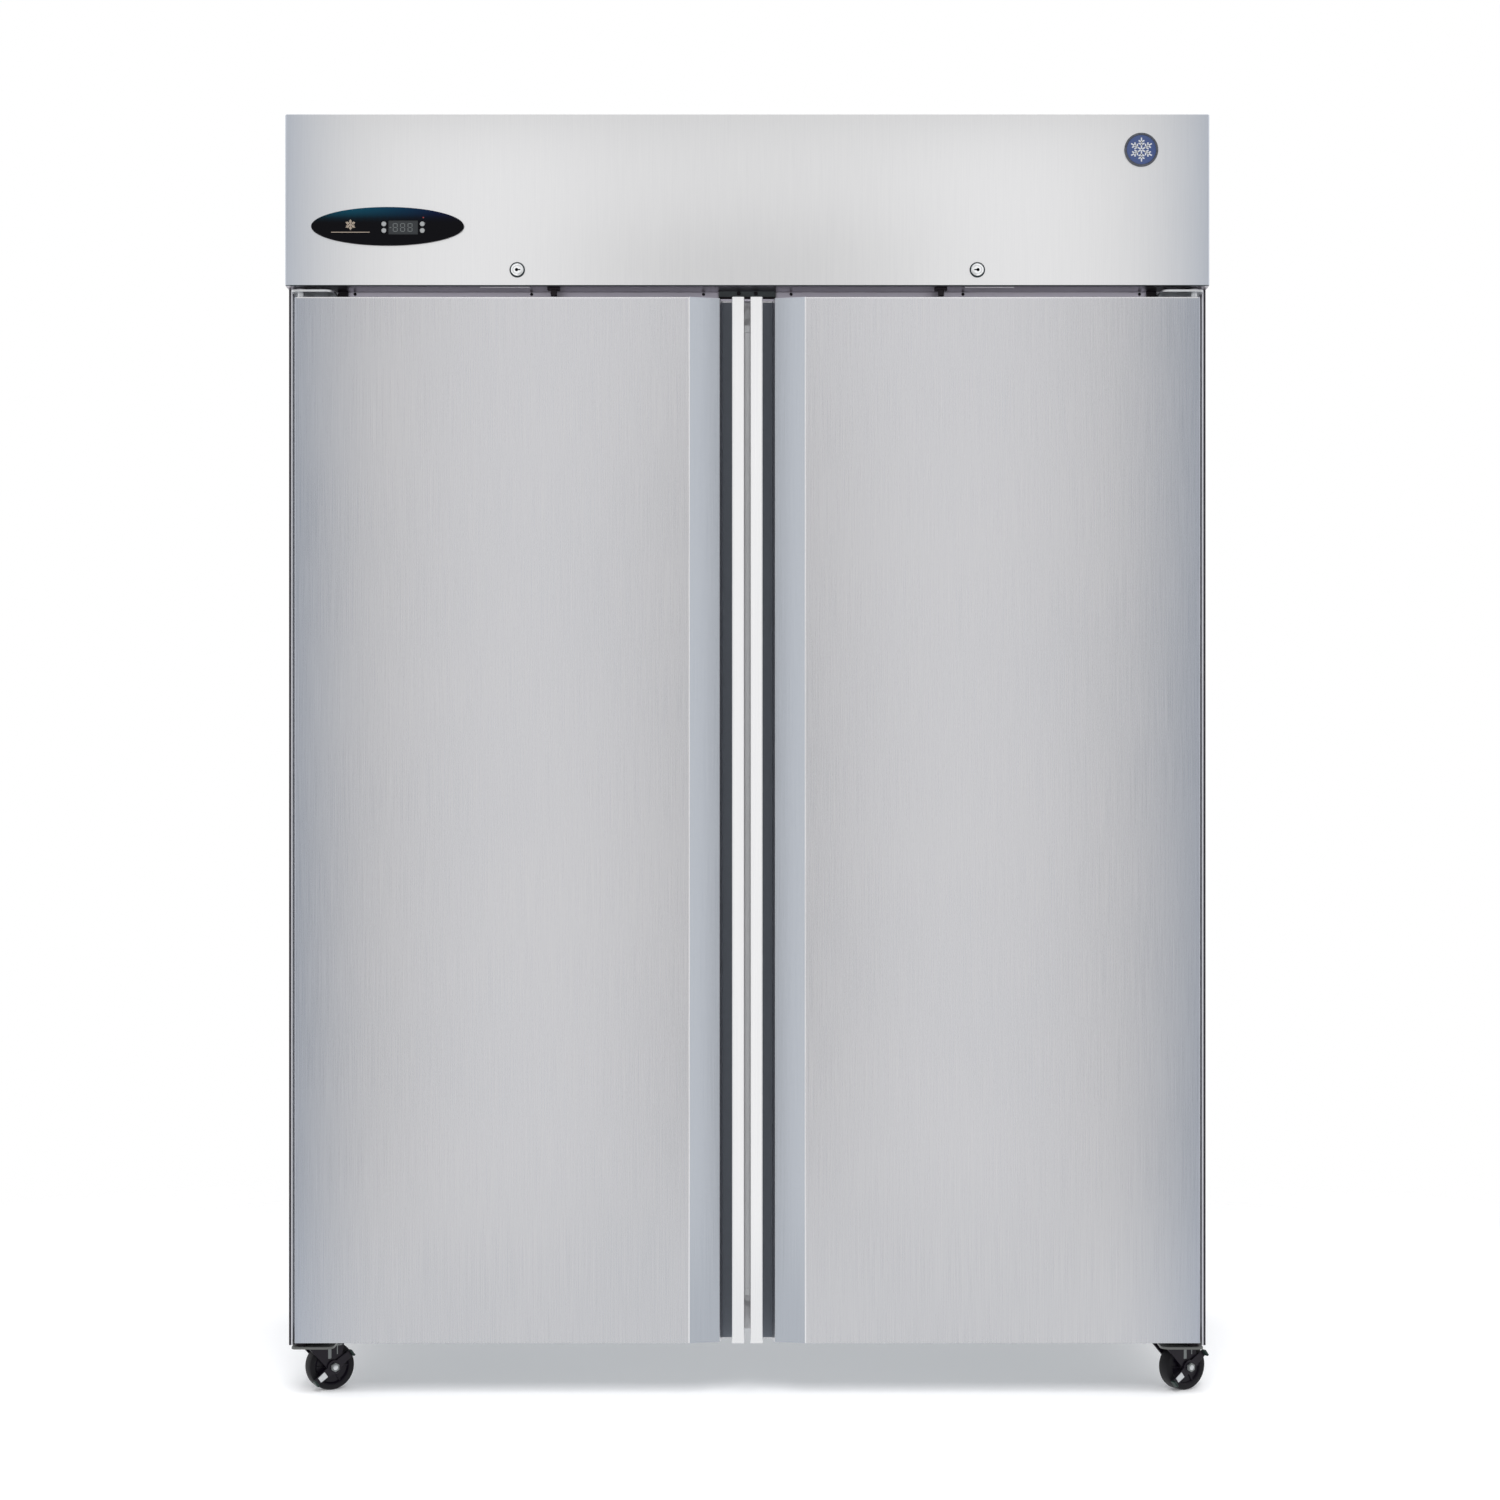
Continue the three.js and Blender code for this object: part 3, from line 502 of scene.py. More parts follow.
door_steel = brushed("door_stainless", (0.72, 0.715, 0.73), (0.59, 0.595, 0.625), UPRIGHT_GRAIN, 0.28)
# Painted shade: the door steel darkens and turns bluer towards its hinge edge.
painted_edge_shade(door_steel, -door_hinge_x * MM, 0.16, 2, (0.74, 0.79, 0.86))
# Painted highlight: near-white steel on the recess's outer bend and the door's top bend.
highlight_steel = brushed("painted_highlight_bend", (0.95, 0.94, 0.96), (0.9, 0.9, 0.92), UPRIGHT_GRAIN, 0.2)
# Painted shade: the recess slope is a darker, bluer steel than the door face.
shaded_recess_steel = brushed("recess_painted_shade", (0.53, 0.56, 0.61), (0.47, 0.5, 0.55), UPRIGHT_GRAIN, 0.2)


def door_skin():
    bm = bmesh.new()
    step_y, floor_y = door_front + recess_step[1], door_front + recess_floor[1]
    corners = [
        (door_hinge_x, door_back, 0), (door_hinge_x, door_front, 3), (recess_start[0], door_front, 8),
        (recess_step[0], step_y, 1.6), (recess_floor[0], floor_y, 2.4), (door_free_x, floor_y, 0.8),
        (door_free_x, door_back, 0),
    ]
    plan_solid(bm, corners, door_low, door_high)
    # The recess's outer bend takes the painted highlight (1) and its slope the painted shade (2).
    for face in bm.faces:
        middle = face.calc_center_median()
        if abs(face.normal.z) < 0.5 and middle.y < step_y:
            if abs(middle.x - recess_start[0]) < bend_half:
                face.material_index = 1
            elif recess_start[0] < middle.x < recess_step[0]:
                face.material_index = 2
    rear = [f for f in bm.faces if f.normal.y > 0.99 and f.calc_center_median().y > door_back - 1]
    bmesh.ops.inset_region(bm, faces=rear, thickness=rear_inset)
    bmesh.ops.translate(bm, vec=(0, -rear_turn_in, 0), verts=list({v for f in rear for v in f.verts}))
    round_edges(bm, lambda middle, way: middle.y < door_front + 0.01 and abs(way.x) > 0.99, end_bend)
    # Painted highlight along the door's top bend.
    for face in bm.faces:
        in_top_bend = face.calc_center_median().z > door_high - end_bend - 0.1
        if in_top_bend and 0.1 < face.normal.z < 0.95 and face.normal.y < -0.1:
            face.material_index = 1
    sink(bm, cut_window(bm, *cam_slot), (0, 0, -cam_slot_deep))
    bmesh.ops.recalc_face_normals(bm, faces=bm.faces)
    return bm


def recess_shadow_strip():
    """A dark strip of painted shadow along the narrow floor of the hand recess, behind the pull bar."""
    bm = bmesh.new()
    floor_y = door_front + recess_floor[1]
    corners = [
        (recess_floor[0] + 0.5, floor_y - 0.1, 0), (recess_floor[0] + 0.5, floor_y - 0.9, 0.4),
        (door_free_x - 0.4, floor_y - 0.9, 0.4), (door_free_x - 0.4, floor_y - 0.1, 0),
    ]
    plan_solid(bm, corners, door_low + 2, door_high - 2)
    return bm


recess_shadow_paint = coated("recess_shadow_paint", (0.15, 0.17, 0.205), (0.2, 0.215, 0.24), 0.2, 600, 0.5)
door_finishes = [door_steel, highlight_steel, shaded_recess_steel]
finish_pair("door_panel", door_skin, door_finishes, "door_{}", "stainless", ["door_skin_{}"])
finish_pair("recess_shadow_strip", recess_shadow_strip, [recess_shadow_paint], "door_{}", "black_plastic")

# ---- edge trims ---------------------------------------------------------------------------------
# A narrow near-black strip of painted shade on the front corner of each side panel, where the gap
# beside the door lies in shadow, with a steel strip that fills the space between it and the door.
# Both stay outside the doors' swing.
trim_out, trim_joint, trim_in = -698.4, -695.4, -692.5
trim_rear, trim_front, trim_low, trim_high = -341.5, -361.5, 80.2, 1687.6

edge_shadow_paint = coated("edge_shadow_paint", (0.012, 0.007, 0.016), (0.08, 0.075, 0.08), 0.2, 500, 0.4)
trim_steel = brushed("trim_stainless", (0.74, 0.74, 0.78), (0.66, 0.66, 0.7), UPRIGHT_GRAIN, 0.3)


def edge_trim():
    bm = bmesh.new()
    for x0, x1, material in ((trim_out, trim_joint, 0), (trim_joint, trim_in, 1)):
        corners = [(x0, trim_rear, 0), (x0, trim_front, 0.6), (x1, trim_front, 0.6), (x1, trim_rear, 0)]
        plan_solid(bm, corners, trim_low, trim_high, material=material)
    return bm


finish_pair("edge_trim", edge_trim, [edge_shadow_paint, trim_steel], "cabinet", "black_plastic")

# ---- door handles -------------------------------------------------------------------------------
# A polished aluminium extrusion the height of each door: a flat bar whose lip turns back into the
# hand recess, on a web that is screwed along the door's free edge.
handle_out, handle_lip, handle_web = -4.6, -23.5, 3.4
handle_face, lip_wall, lip_deep, lip_corner = 4, 3.5, 14, 4.5

polished = brushed(
    "polished_handle", (0.96, 0.96, 0.965), (0.9, 0.9, 0.915), (500, 500, 4), 0.2,
    spread=0.08, bump=(0.1, 0.0001),
)


def door_handle():
    bm = bmesh.new()
    web_x, inner_y, lip_x = handle_out - handle_web, door_front + handle_face, handle_lip + lip_wall
    corners = [
        (handle_out, door_back, 0.5), (web_x, door_back, 0.5), (web_x, inner_y, 1.2), (lip_x, inner_y, 1.2),
        (lip_x, door_front + lip_deep, 1), (handle_lip, door_front + lip_deep, 1), (handle_lip, door_front, 3),
        (handle_out, door_front, 1.8),
    ]
    plan_solid(bm, corners, door_low, door_high)
    for height in (door_low, door_high):
        round_edges(
            bm,
            lambda middle, way: abs(middle.z - height) < 0.01 and abs(middle.x - handle_lip) < 0.01
            and abs(way.y) > 0.9,
            lip_corner, 5,
        )
    return bm


finish_pair("pull_bar", door_handle, [polished], "door_{}", "handle", ["door_handle_{}"])
bars = bpy.data.collections.new("pull_bars")
for side in ("left", "right"):
    bars.objects.link(bpy.data.objects[f"{side}_pull_bar"])
size, place, power = handle_softbox
softbox("handle_softbox", size, place, facing_doors, power).light_linking.receiver_collection = bars

# ---- header -------------------------------------------------------------------------------------
# One folded stainless pan across the whole width in front of the cooling unit, with side returns,
# a narrow top flange and a full underside that the lock cams pass through. Its steel is painted
# with shade towards both ends and on the underside, and the lower fold is painted near-black shade.
half_width, header_low, header_high = 698.5, 1688, 1947
header_rear = -341.3
underside = (1.6889, 1.6884)  # z below which the steel faces the doors, and is fully in their shade
cam_hole_x, cam_hole_y = (330, 405), (-387.5, -380.5)
sheet = 1.2

header_steel = brushed(
    "header_stainless", (0.92, 0.92, 0.925), (0.87, 0.87, 0.88), (700, 700, 12), 0.34,
    spread=0.06, bump=(0.12, 0.0002),
)
# Painted shade: the header steel darkens and turns bluer towards both ends.
painted_edge_shade(header_steel, half_width * MM, 0.19, 2.7, (0.7, 0.745, 0.82))
# Painted shade on the underside, where the header faces the doors.
restain(header_steel, (0.42, 0.4, 0.45), "Z", *underside)
# Painted shade: the lower fold's near-black teal stands for the dark it reflects from below.
lower_fold_shade = brushed("lower_fold_shade", (0.05, 0.085, 0.085), (0.03, 0.055, 0.055), CROSS_GRAIN, 0.4)


def header_pan():
    bm = bmesh.new()
    corners = [
        (-half_width, header_rear, 0), (half_width, header_rear, 0), (half_width, door_front, 4),
        (-half_width, door_front, 4),
    ]
    plan_solid(bm, corners, header_low, header_high)
    round_edges(
        bm,
        lambda middle, way: middle.y < door_front + 4 and abs(way.z) < 0.1 and abs(middle.y - header_rear) > 1,
        1.8,
    )
    # The faces of the lower fold take the painted shade.
    for face in bm.faces:
        if -0.98 < face.normal.z < -0.3 and face.normal.y < -0.1:
            face.material_index = 1
    open_faces = [f for f in bm.faces if f.normal.y > 0.99]
    bmesh.ops.delete(bm, geom=open_faces, context="FACES")
    near, far = cam_hole_x
    for x0, x1 in ((-far, -near), (near, far)):
        hole = cut_window(bm, (x0, cam_hole_y[0], header_low - 1), (x1, cam_hole_y[1], header_low + 1))
        bmesh.ops.delete(bm, geom=hole, context="FACES")
    flange = 20
    roof = cut_window(
        bm, (flange - half_width, door_front + flange, header_high - 1),
        (half_width - flange, header_rear + 1, header_high + 1),
    )
    bmesh.ops.delete(bm, geom=roof, context="FACES")
    bmesh.ops.solidify(bm, geom=list(bm.faces), thickness=sheet)
    return bm


finish_piece("header_pan", header_pan(), [header_steel, lower_fold_shade], "cabinet", "stainless", ["header_panel"])

# ---- control panel ------------------------------------------------------------------------------
# An oval of black plastic clipped into the header. Its top is printed in blue-green under a fine
# dot screen. It holds a small window with three unlit digits, a lamp and four rubber buttons.
panel_x, panel_z, panel_long, panel_high = -543.2, 1777, 115.35, 29.1
panel_back, panel_face, rim_round = -401.3, -405, 0.9
digit_front, digit_back = -404, -403.7
window = ((-542, -406, 1764.45), (-497, -404, 1785.95))
button_places = [(-548.6, 1780.5), (-548.6, 1770.5), (-490.6, 1780.5), (-490.6, 1770.5)]
button_radius = 3.75


def ring_points(centre, radii, count):
    """Points round an ellipse, as a flat loop."""
    return [
        (centre[0] + radii[0] * math.cos(2 * math.pi * i / count),
         centre[1] + radii[1] * math.sin(2 * math.pi * i / count))
        for i in range(count)
    ]


def plate_solid(bm, loops, low, high, place=lambda a, b, h: (a, b, h), material=0):
    """A plate with holes: the first loop is its rim and the others are its holes."""
    edges, verts = [], []
    for loop in loops:
        ring = [bm.verts.new(place(a, b, low)) for a, b in loop]
        edges += [bm.edges.new((ring[i - 1], ring[i])) for i in range(len(ring))]
        verts += ring
    bmesh.ops.triangle_fill(bm, use_beauty=True, use_dissolve=False, edges=edges)
    made = bmesh.ops.extrude_face_region(bm, geom=faces_round(verts))
    raised = verts_in(made["geom"])
    bmesh.ops.translate(bm, vec=Vector(place(0, 0, high)) - Vector(place(0, 0, low)), verts=raised)
    faces = faces_round(verts + raised)
    bmesh.ops.recalc_face_normals(bm, faces=faces)
    paint_faces(faces, material)


def turned_solid(bm, profile, centre, axis="Y", sides=48, material=0):
    """A solid turned from (radius, place along the axis) points, listed all the way round its wall."""
    verts = [bm.verts.new((radius, 0, along)) for radius, along in profile]
    edges = [bm.edges.new((verts[i], verts[i + 1])) for i in range(len(verts) - 1)]
    spun = bmesh.ops.spin(
        bm, geom=verts + edges, cent=(0, 0, 0), axis=(0, 0, 1), angle=2 * math.pi, steps=sides, use_merge=True,
    )
    verts += verts_in(spun["geom_last"])
    shell, growing = set(), list(verts)
    while growing:
        vert = growing.pop()
        if vert.is_valid and vert not in shell:
            shell.add(vert)
            growing += [e.other_vert(vert) for e in vert.link_edges]
    bmesh.ops.remove_doubles(bm, verts=list(shell), dist=1e-4)
    shell = [v for v in shell if v.is_valid]
    turn = {"Y": Matrix.Rotation(-math.pi / 2, 4, "X"), "Z": Matrix()}
    bmesh.ops.transform(bm, matrix=Matrix.Translation(centre) @ turn[axis], verts=shell)
    faces = faces_round(shell)
    bmesh.ops.recalc_face_normals(bm, faces=faces)
    paint_faces(faces, material)


def block_solid(bm, low, high, material=0):
    """A block between two corners."""
    low, high = Vector(low), Vector(high)
    stretch = Matrix.Diagonal((*(high - low), 1))
    made = bmesh.ops.create_cube(bm, size=1, matrix=Matrix.Translation((low + high) / 2) @ stretch)
    paint_faces(faces_round(made["verts"]), material)
    return made["verts"]


def rod_solid(bm, start, end, radius, sides=16, material=0, end_radius=None):
    """A straight rod between two points; with six sides it is a bolt's head or a nut."""
    start, end = Vector(start), Vector(end)
    along = end - start
    turn = along.to_track_quat("Z", "Y").to_matrix().to_4x4()
    made = bmesh.ops.create_cone(
        bm, cap_ends=True, segments=sides, depth=along.length, matrix=Matrix.Translation((start + end) / 2) @ turn,
        radius1=radius, radius2=radius if end_radius is None else end_radius,
    )
    paint_faces(faces_round(made["verts"]), material)


def snowflake(bm, x, z, reach, width, back, front, material=0):
    """Six arms, each with two pairs of barbs, standing off a face that looks forwards."""
    for arm in range(6):
        turn = Matrix.Rotation(arm * math.pi / 3, 4, "Y")
        bars = [(0, 0.06 * reach, reach)]
        bars += [(lean, at, 0.3 * reach) for at in (0.42 * reach, 0.66 * reach) for lean in (-1, 1)]
        for lean, at, long in bars:
            verts = block_solid(bm, (-width / 2, back, 0), (width / 2, front, long), material)
            tilt = Matrix.Rotation(lean * math.pi / 3, 4, "Y")
            put = Matrix.Translation((x, 0, z)) @ turn @ Matrix.Translation((0, 0, at)) @ tilt
            bmesh.ops.transform(bm, verts=verts, matrix=put)


def dot_screen_plastic():
    """Black plastic, with a printed blue-green fade at the top, broken up by rows of fine dots."""
    material = coated(
        "panel_black", (0.004, 0.004, 0.006), (0.01, 0.01, 0.012), 0.15, 900, 0.3, 0.05, (0.02, 0.0001),
        Specular_IOR_Level=0.06,
    )
    tree = material.node_tree
    spot = node(tree, "TexCoord").outputs["Object"]
    split = node(tree, "SeparateXYZ", {0: spot})
    rise = node(
        tree, "MapRange",
        {"Value": split.outputs["Z"], "From Min": 1.779, "From Max": 1.806, "To Min": 0, "To Max": 0.95},
    )
    aside = node(
        tree, "MapRange",
        {"Value": split.outputs["X"], "From Min": -0.60, "From Max": -0.47, "To Min": 1, "To Max": 0},
    )
    hue = node(
        tree, "Mix",
        {0: aside, 6: (0.004, 0.012, 0.06, 1), 7: (0.006, 0.09, 0.15, 1)}, data_type="RGBA",
    )
    flat = node(tree, "VectorMath", {0: spot, 1: (1, 0, 1)}, operation="MULTIPLY")
    dots = node(tree, "TexVoronoi", {"Vector": flat, "Scale": 560, "Randomness": 0})
    reach = node(tree, "Math", {0: rise, 1: dots.outputs["Distance"]}, operation="SUBTRACT")
    mask = node(tree, "MapRange", {"Value": reach, "From Min": -0.12, "From Max": 0.12})
    share = node(tree, "Math", {0: mask, 1: rise}, operation="MULTIPLY")
    tint_over(material, share, hue.outputs[2])
    return material


panel_black = dot_screen_plastic()
window_grey = coated(
    "window_grey", (0.045, 0.05, 0.055), (0.03, 0.03, 0.035), 0.2, 700, 0.2, 0.03, Specular_IOR_Level=0.2,
)
digit_grey = coated("digit_grey", (0.16, 0.175, 0.18), (0.12, 0.13, 0.13), 0.2, 900, 0.3)
print_beige = coated("print_beige", (0.72, 0.6, 0.48), (0.6, 0.5, 0.4), 0.3, 900, 0.4)
lamp_red = coated("lamp_red", (0.32, 0.015, 0.02), (0.2, 0.01, 0.015), 0.3, 500, 0.2, Coat_Weight=0.5)
button_rubber = coated("button_rubber", (0.5, 0.52, 0.53), (0.3, 0.31, 0.32), 0.4, 1200, 0.35)

bm = bmesh.new()
rim = ring_points((panel_x, panel_z), (panel_long, panel_high), 96)
holes = [ring_points(place, (button_radius + 0.3,) * 2, 24) for place in button_places]
low_corner, high_corner = window
hole_x, hole_z = (low_corner[0], high_corner[0]), (low_corner[2], high_corner[2])
holes.append([(hole_x[0], hole_z[0]), (hole_x[1], hole_z[0]), (hole_x[1], hole_z[1]), (hole_x[0], hole_z[1])])
plate_solid(bm, [rim] + holes, panel_back, panel_face + rim_round, front_view)
face = [f for f in bm.faces if f.normal.y < -0.9]
made = bmesh.ops.extrude_face_region(bm, geom=face)
bmesh.ops.delete(bm, geom=face, context="FACES")
for vert in verts_in(made["geom"]):
    vert.co.y = panel_face
    away = Vector(((vert.co.x - panel_x) / panel_long, (vert.co.z - panel_z) / panel_high))
    if away.length > 0.98:
        outward = Vector((away.x / panel_long, 0, away.y / panel_high)).normalized()
        vert.co -= outward * rim_round
bmesh.ops.recalc_face_normals(bm, faces=bm.faces)
finish_piece("oval_panel", bm, [panel_black], "cabinet", "black_plastic", ["control_bezel"])

bm = bmesh.new()
block_solid(bm, (hole_x[0] + 0.1, -403.8, hole_z[0] + 0.1), (hole_x[1] - 0.1, -401.6, hole_z[1] - 0.1))
digit_long, digit_wide, digit_bar, digit_x, digit_z, digit_pitch = 13, 7.4, 1.25, -531.5, 1775.2, 11.2


def digit_stroke(x, z, wide, high):
    """One unlit stroke of a digit, round a middle."""
    block_solid(bm, (x - wide / 2, digit_front, z - high / 2), (x + wide / 2, digit_back, z + high / 2), 1)


for digit in range(3):
    x = digit_x + digit * digit_pitch
    for up in (1, 0, -1):
        z = digit_z + up * (digit_long / 2 - digit_bar / 2)
        digit_stroke(x, z, digit_wide - 2 * digit_bar, digit_bar)
    for side in (-1, 1):
        for up in (-1, 1):
            digit_stroke(
                x + side * (digit_wide / 2 - digit_bar / 2), digit_z + up * digit_long / 4, digit_bar, 5,
            )
digit_stroke(-538.7, digit_z, 3, 1.2)
finish_piece("digit_window", bm, [window_grey, digit_grey], "cabinet", "black_plastic", edge=0.15)

bm = bmesh.new()
snowflake(bm, -599, 1779, 7.5, 1, -405.2, -404.9)
block_solid(bm, (-628, -405.15, 1767.4), (-570, -404.9, 1768.2))
finish_piece("panel_mark", bm, [print_beige], "cabinet", "black_plastic")

bm = bmesh.new()
turned_solid(bm, [(0, -405.5), (0.8, -405.4), (1.3, -404.9), (0, -404.9)], (-489, 0, 1790), sides=16)
finish_piece("panel_lamp", bm, [lamp_red], "cabinet", "black_plastic")

for number, (x, z) in enumerate(button_places, 1):
    bm = bmesh.new()
    profile = [
        (0, -406), (1.6, -405.9), (2.9, -405.5), (button_radius - 0.1, -404.6), (button_radius, -401),
        (4.9, -400.8), (4.9, -398.4), (0, -398.4),
    ]
    turned_solid(bm, profile, (x, 0, z), sides=32)
    button = f"button_{number}"
    finish_piece(f"rubber_{button}", bm, [button_rubber], button, "black_plastic", [button])

# ---- locks --------------------------------------------------------------------------------------
# Chrome cam locks, one above each door, each nutted through the header. A cylinder turns in the
# body and swings a flat cam down through the header's slot into the top of the door.
lock_x, lock_z = -347.5, 1711.6
lock_centre = (lock_x, 0, lock_z)
# The chrome face's outer ring is painted shade, widening into a crescent below the middle.
ring_from, shade_from, shade_below = 9.9, 9, 4  # radius of the dark ring, wider in its lower part

chrome = brushed(
    "lock_chrome", (0.98, 0.985, 0.99), (0.9, 0.92, 0.94), (300, 300, 300), 0.12, 0.08, bump=(0.05, 0.0001),
)
keyhole_shade = coated(
    "keyhole_shade", (0.002, 0.002, 0.003), (0.008, 0.008, 0.008), 0.3, 500, 0.6, Specular_IOR_Level=0.05,
)
lock_ring_shade = coated(
    "lock_ring_dark", (0.035, 0.045, 0.05), (0.02, 0.03, 0.035), 0.3, 500, 0.4, Specular_IOR_Level=0.1,
)
zinc_steel = galvanised("zinc_steel", (0.78, 0.79, 0.8), (0.6, 0.62, 0.65), 260, 0.26)


def lock_body():
    bm = bmesh.new()
    profile = [
        (6.2, -403.3), (7.2, -402.9), (8.9, -402.9), (9.5, -403.5), (10.6, -403.5), (11.4, -402.9),
        (11.65, -401.9), (11.65, -401.2), (9.5, -401.2), (9.5, -386.4), (6.2, -386.4), (6.2, -403.3),
    ]
    turned_solid(bm, profile, lock_centre, sides=64)
    # Faces beyond the ring's radius take the painted shade.
    for face in bm.faces:
        middle = face.calc_center_median()
        from_axis = math.hypot(middle.x - lock_x, middle.z - lock_z)
        dark_from = shade_from if middle.z < lock_z - shade_below else ring_from
        if middle.y < door_front and from_axis > dark_from:
            face.material_index = 2
    nut = [(9.6, -399.6), (13.5, -399.6), (13.5, -396.4), (9.6, -396.4), (9.6, -399.6)]
    turned_solid(bm, nut, lock_centre, sides=6, material=1)
    return bm


def lock_cylinder():
    bm = bmesh.new()
    barrel = [(0, -404), (5.4, -404), (6, -403.5), (6, -386), (4, -385.8), (4, -380), (0, -380)]
    turned_solid(bm, barrel, lock_centre, sides=40)
    cam = [(lock_x + a, lock_z + b, radius) for a, b, radius in ((6, -6, 3), (6, 6, 3), (-52, 6, 4), (-52, -6, 4))]
    plan_solid(bm, cam, -382.75, -385.25, front_view, material=1)
    rod_solid(bm, (lock_x, -382.8, lock_z), (lock_x, -380.6, lock_z), 5.5, 6, material=1)
    # The keyhole is a thin near-black film of painted shade, not a cut slot.
    key_front, key_back, key_x = -404.15, -403.6, lock_x - 0.8
    rod_solid(bm, (key_x, key_front, lock_z), (key_x, key_back, lock_z), 2.5, 20, material=2)
    block_solid(bm, (lock_x - 0.2, key_front, lock_z - 0.9), (lock_x + 4.9, key_back, lock_z + 0.9), 2)
    return bm


for name, make, dark, body, node_name in (
    ("lock_shell", lock_body, lock_ring_shade, "cabinet", "lock_body_{}"),
    ("lock_barrel", lock_cylinder, keyhole_shade, "lock_{}", "lock_cylinder_{}"),
):
    finish_pair(name, make, [chrome, zinc_steel, dark], body, "lock_chrome", [node_name])

# ---- badge --------------------------------------------------------------------------------------
# A round badge glued to the header at its right: a dark rim, a blue face and a plain white snow
# crystal, all under a clear domed resin.
badge_x, badge_z, badge_radius, badge_face = 595.1, 1893, 25.6, 22.2
badge_centre, badge_back = (badge_x, 0, badge_z), -401.05

badge_blue = coated(
    "badge_blue", (0.02, 0.07, 0.28), (0.012, 0.03, 0.12), 0.8, 60, 0.25, Coat_Weight=0.8, Coat_Roughness=0.08,
)
badge_rim = brushed("badge_rim", (0.16, 0.17, 0.2), (0.08, 0.085, 0.1), (200, 200, 200), 0.3)
badge_white = coated("badge_white", (0.82, 0.85, 0.9), (0.65, 0.7, 0.8), 0.3, 500, 0.3, Coat_Weight=0.8)

bm = bmesh.new()
rim = [
    (badge_face, -402.6), (22.8, -403.4), (24.6, -403.4), (badge_radius, -402.4), (badge_radius, badge_back),
    (badge_face, badge_back), (badge_face, -402.6),
]
dome = [(0, -403), (12, -402.8), (badge_face, -402.3), (badge_face, badge_back), (0, badge_back)]
turned_solid(bm, rim, badge_centre, sides=64, material=1)
turned_solid(bm, dome, badge_centre, sides=64)
snowflake(bm, badge_x, badge_z, 17, 2, -403.4, -402.2, 2)
finish_piece("badge", bm, [badge_blue, badge_rim, badge_white], "cabinet", "black_plastic")

# ---- hinges -------------------------------------------------------------------------------------
# Angle brackets screwed to the cabinet's face above and below each door, each with a fixed pin that
# the door turns on. The upper one is zinc-plated. The lower one is painted grey, and carries the
# door on a nylon washer.
pin_x, pin_y = -677, -380
pin_centre = (pin_x, pin_y, 0)
bracket_out, bracket_in, bracket_front = -690, -626, -397
face_plane = -341.3


def screw_head(bm, centre, out, radius=3.4, material=0):
    """A low domed screw head that faces along out."""
    out = Vector(out)
    centre = Vector(centre)
    shoulder, crown = centre + out * 1.1, centre + out * 1.7
    rod_solid(bm, centre, shoulder, radius, 16, material, end_radius=radius * 0.78)
    rod_solid(bm, shoulder, crown, radius * 0.78, 16, material, end_radius=radius * 0.36)


def angle_bracket(bm, plate_low, plate_high, flange_low, flange_high):
    corners = [
        (bracket_out, face_plane, 0), (bracket_out, bracket_front, 7), (bracket_in, bracket_front, 14),
        (bracket_in, face_plane, 0),
    ]
    plan_solid(bm, corners, plate_low, plate_high)
    block_solid(bm, (bracket_out, face_plane - 3, flange_low), (bracket_in, face_plane, flange_high))
    for x in (bracket_out + 18, bracket_in - 12):
        screw_head(bm, (x, face_plane - 3, (flange_low + flange_high) / 2), (0, -1, 0), 4)


def top_hinge():
    bm = bmesh.new()
    angle_bracket(bm, 1679.5, 1683, 1666, 1687)
    pin = [(0, 1655), (4.4, 1655), (5, 1656), (5, 1683), (7.4, 1683), (7.4, 1685.4), (6.4, 1686.5), (0, 1686.5)]
    turned_solid(bm, pin, pin_centre, "Z", 32)
    return bm


def bottom_hinge():
    bm = bmesh.new()
    angle_bracket(bm, 80, 83.5, 80, 104)
    pin = [(0, 80), (5, 80), (5, 105), (4.4, 106.3), (0, 106.3)]
    washer = [(5, 83.5), (9, 83.5), (9, 89), (8.2, 89.8), (5, 89.8), (5, 83.5)]
    turned_solid(bm, pin, pin_centre, "Z", 32)
    turned_solid(bm, washer, pin_centre, "Z", 32, 1)
    return bm


black_nylon = coated(
    "black_nylon", (0.01, 0.006, 0.011), (0.03, 0.025, 0.03), 0.25, 600, 0.45, Specular_IOR_Level=0.25,
)
hinge_grey = coated("hinge_grey", (0.15, 0.155, 0.15), (0.09, 0.095, 0.09), 0.4, 300, 0.4, 0.15, (0.3, 0.0003))
for name, make, plating, node_name in (
    ("upper_bracket", top_hinge, zinc_steel, "hinge_top_{}"),
    ("lower_bracket", bottom_hinge, hinge_grey, "hinge_bottom_{}"),
):
    finish_pair(name, make, [plating, black_nylon], "cabinet", "zinc_steel", [node_name], edge=0.4)

# ---- rail over the doors ------------------------------------------------------------------------
# The stainless strip that shows in the gap between header and doors, with the plastic cap on top of
# the mullion, the bumpers beside the hinges and the two door switches.
rail_low, rail_high, rail_face, rail_rear = 1664.5, 1687.7, -343, -341.4
cap_half, cap_front, cap_rear, cap_lip, cap_foot, strip_foot = 43, -354, -341.5, 1679, 1676.2, 1672.5


def top_rail():
    bm = bmesh.new()
    block_solid(bm, (-625, rail_face, rail_low), (-44, rail_rear, rail_high))
    for x in (-600, -330, -67):
        screw_head(bm, (x, rail_face, 1684.6), (0, -1, 0), radius=2.6, material=1)
    return bm


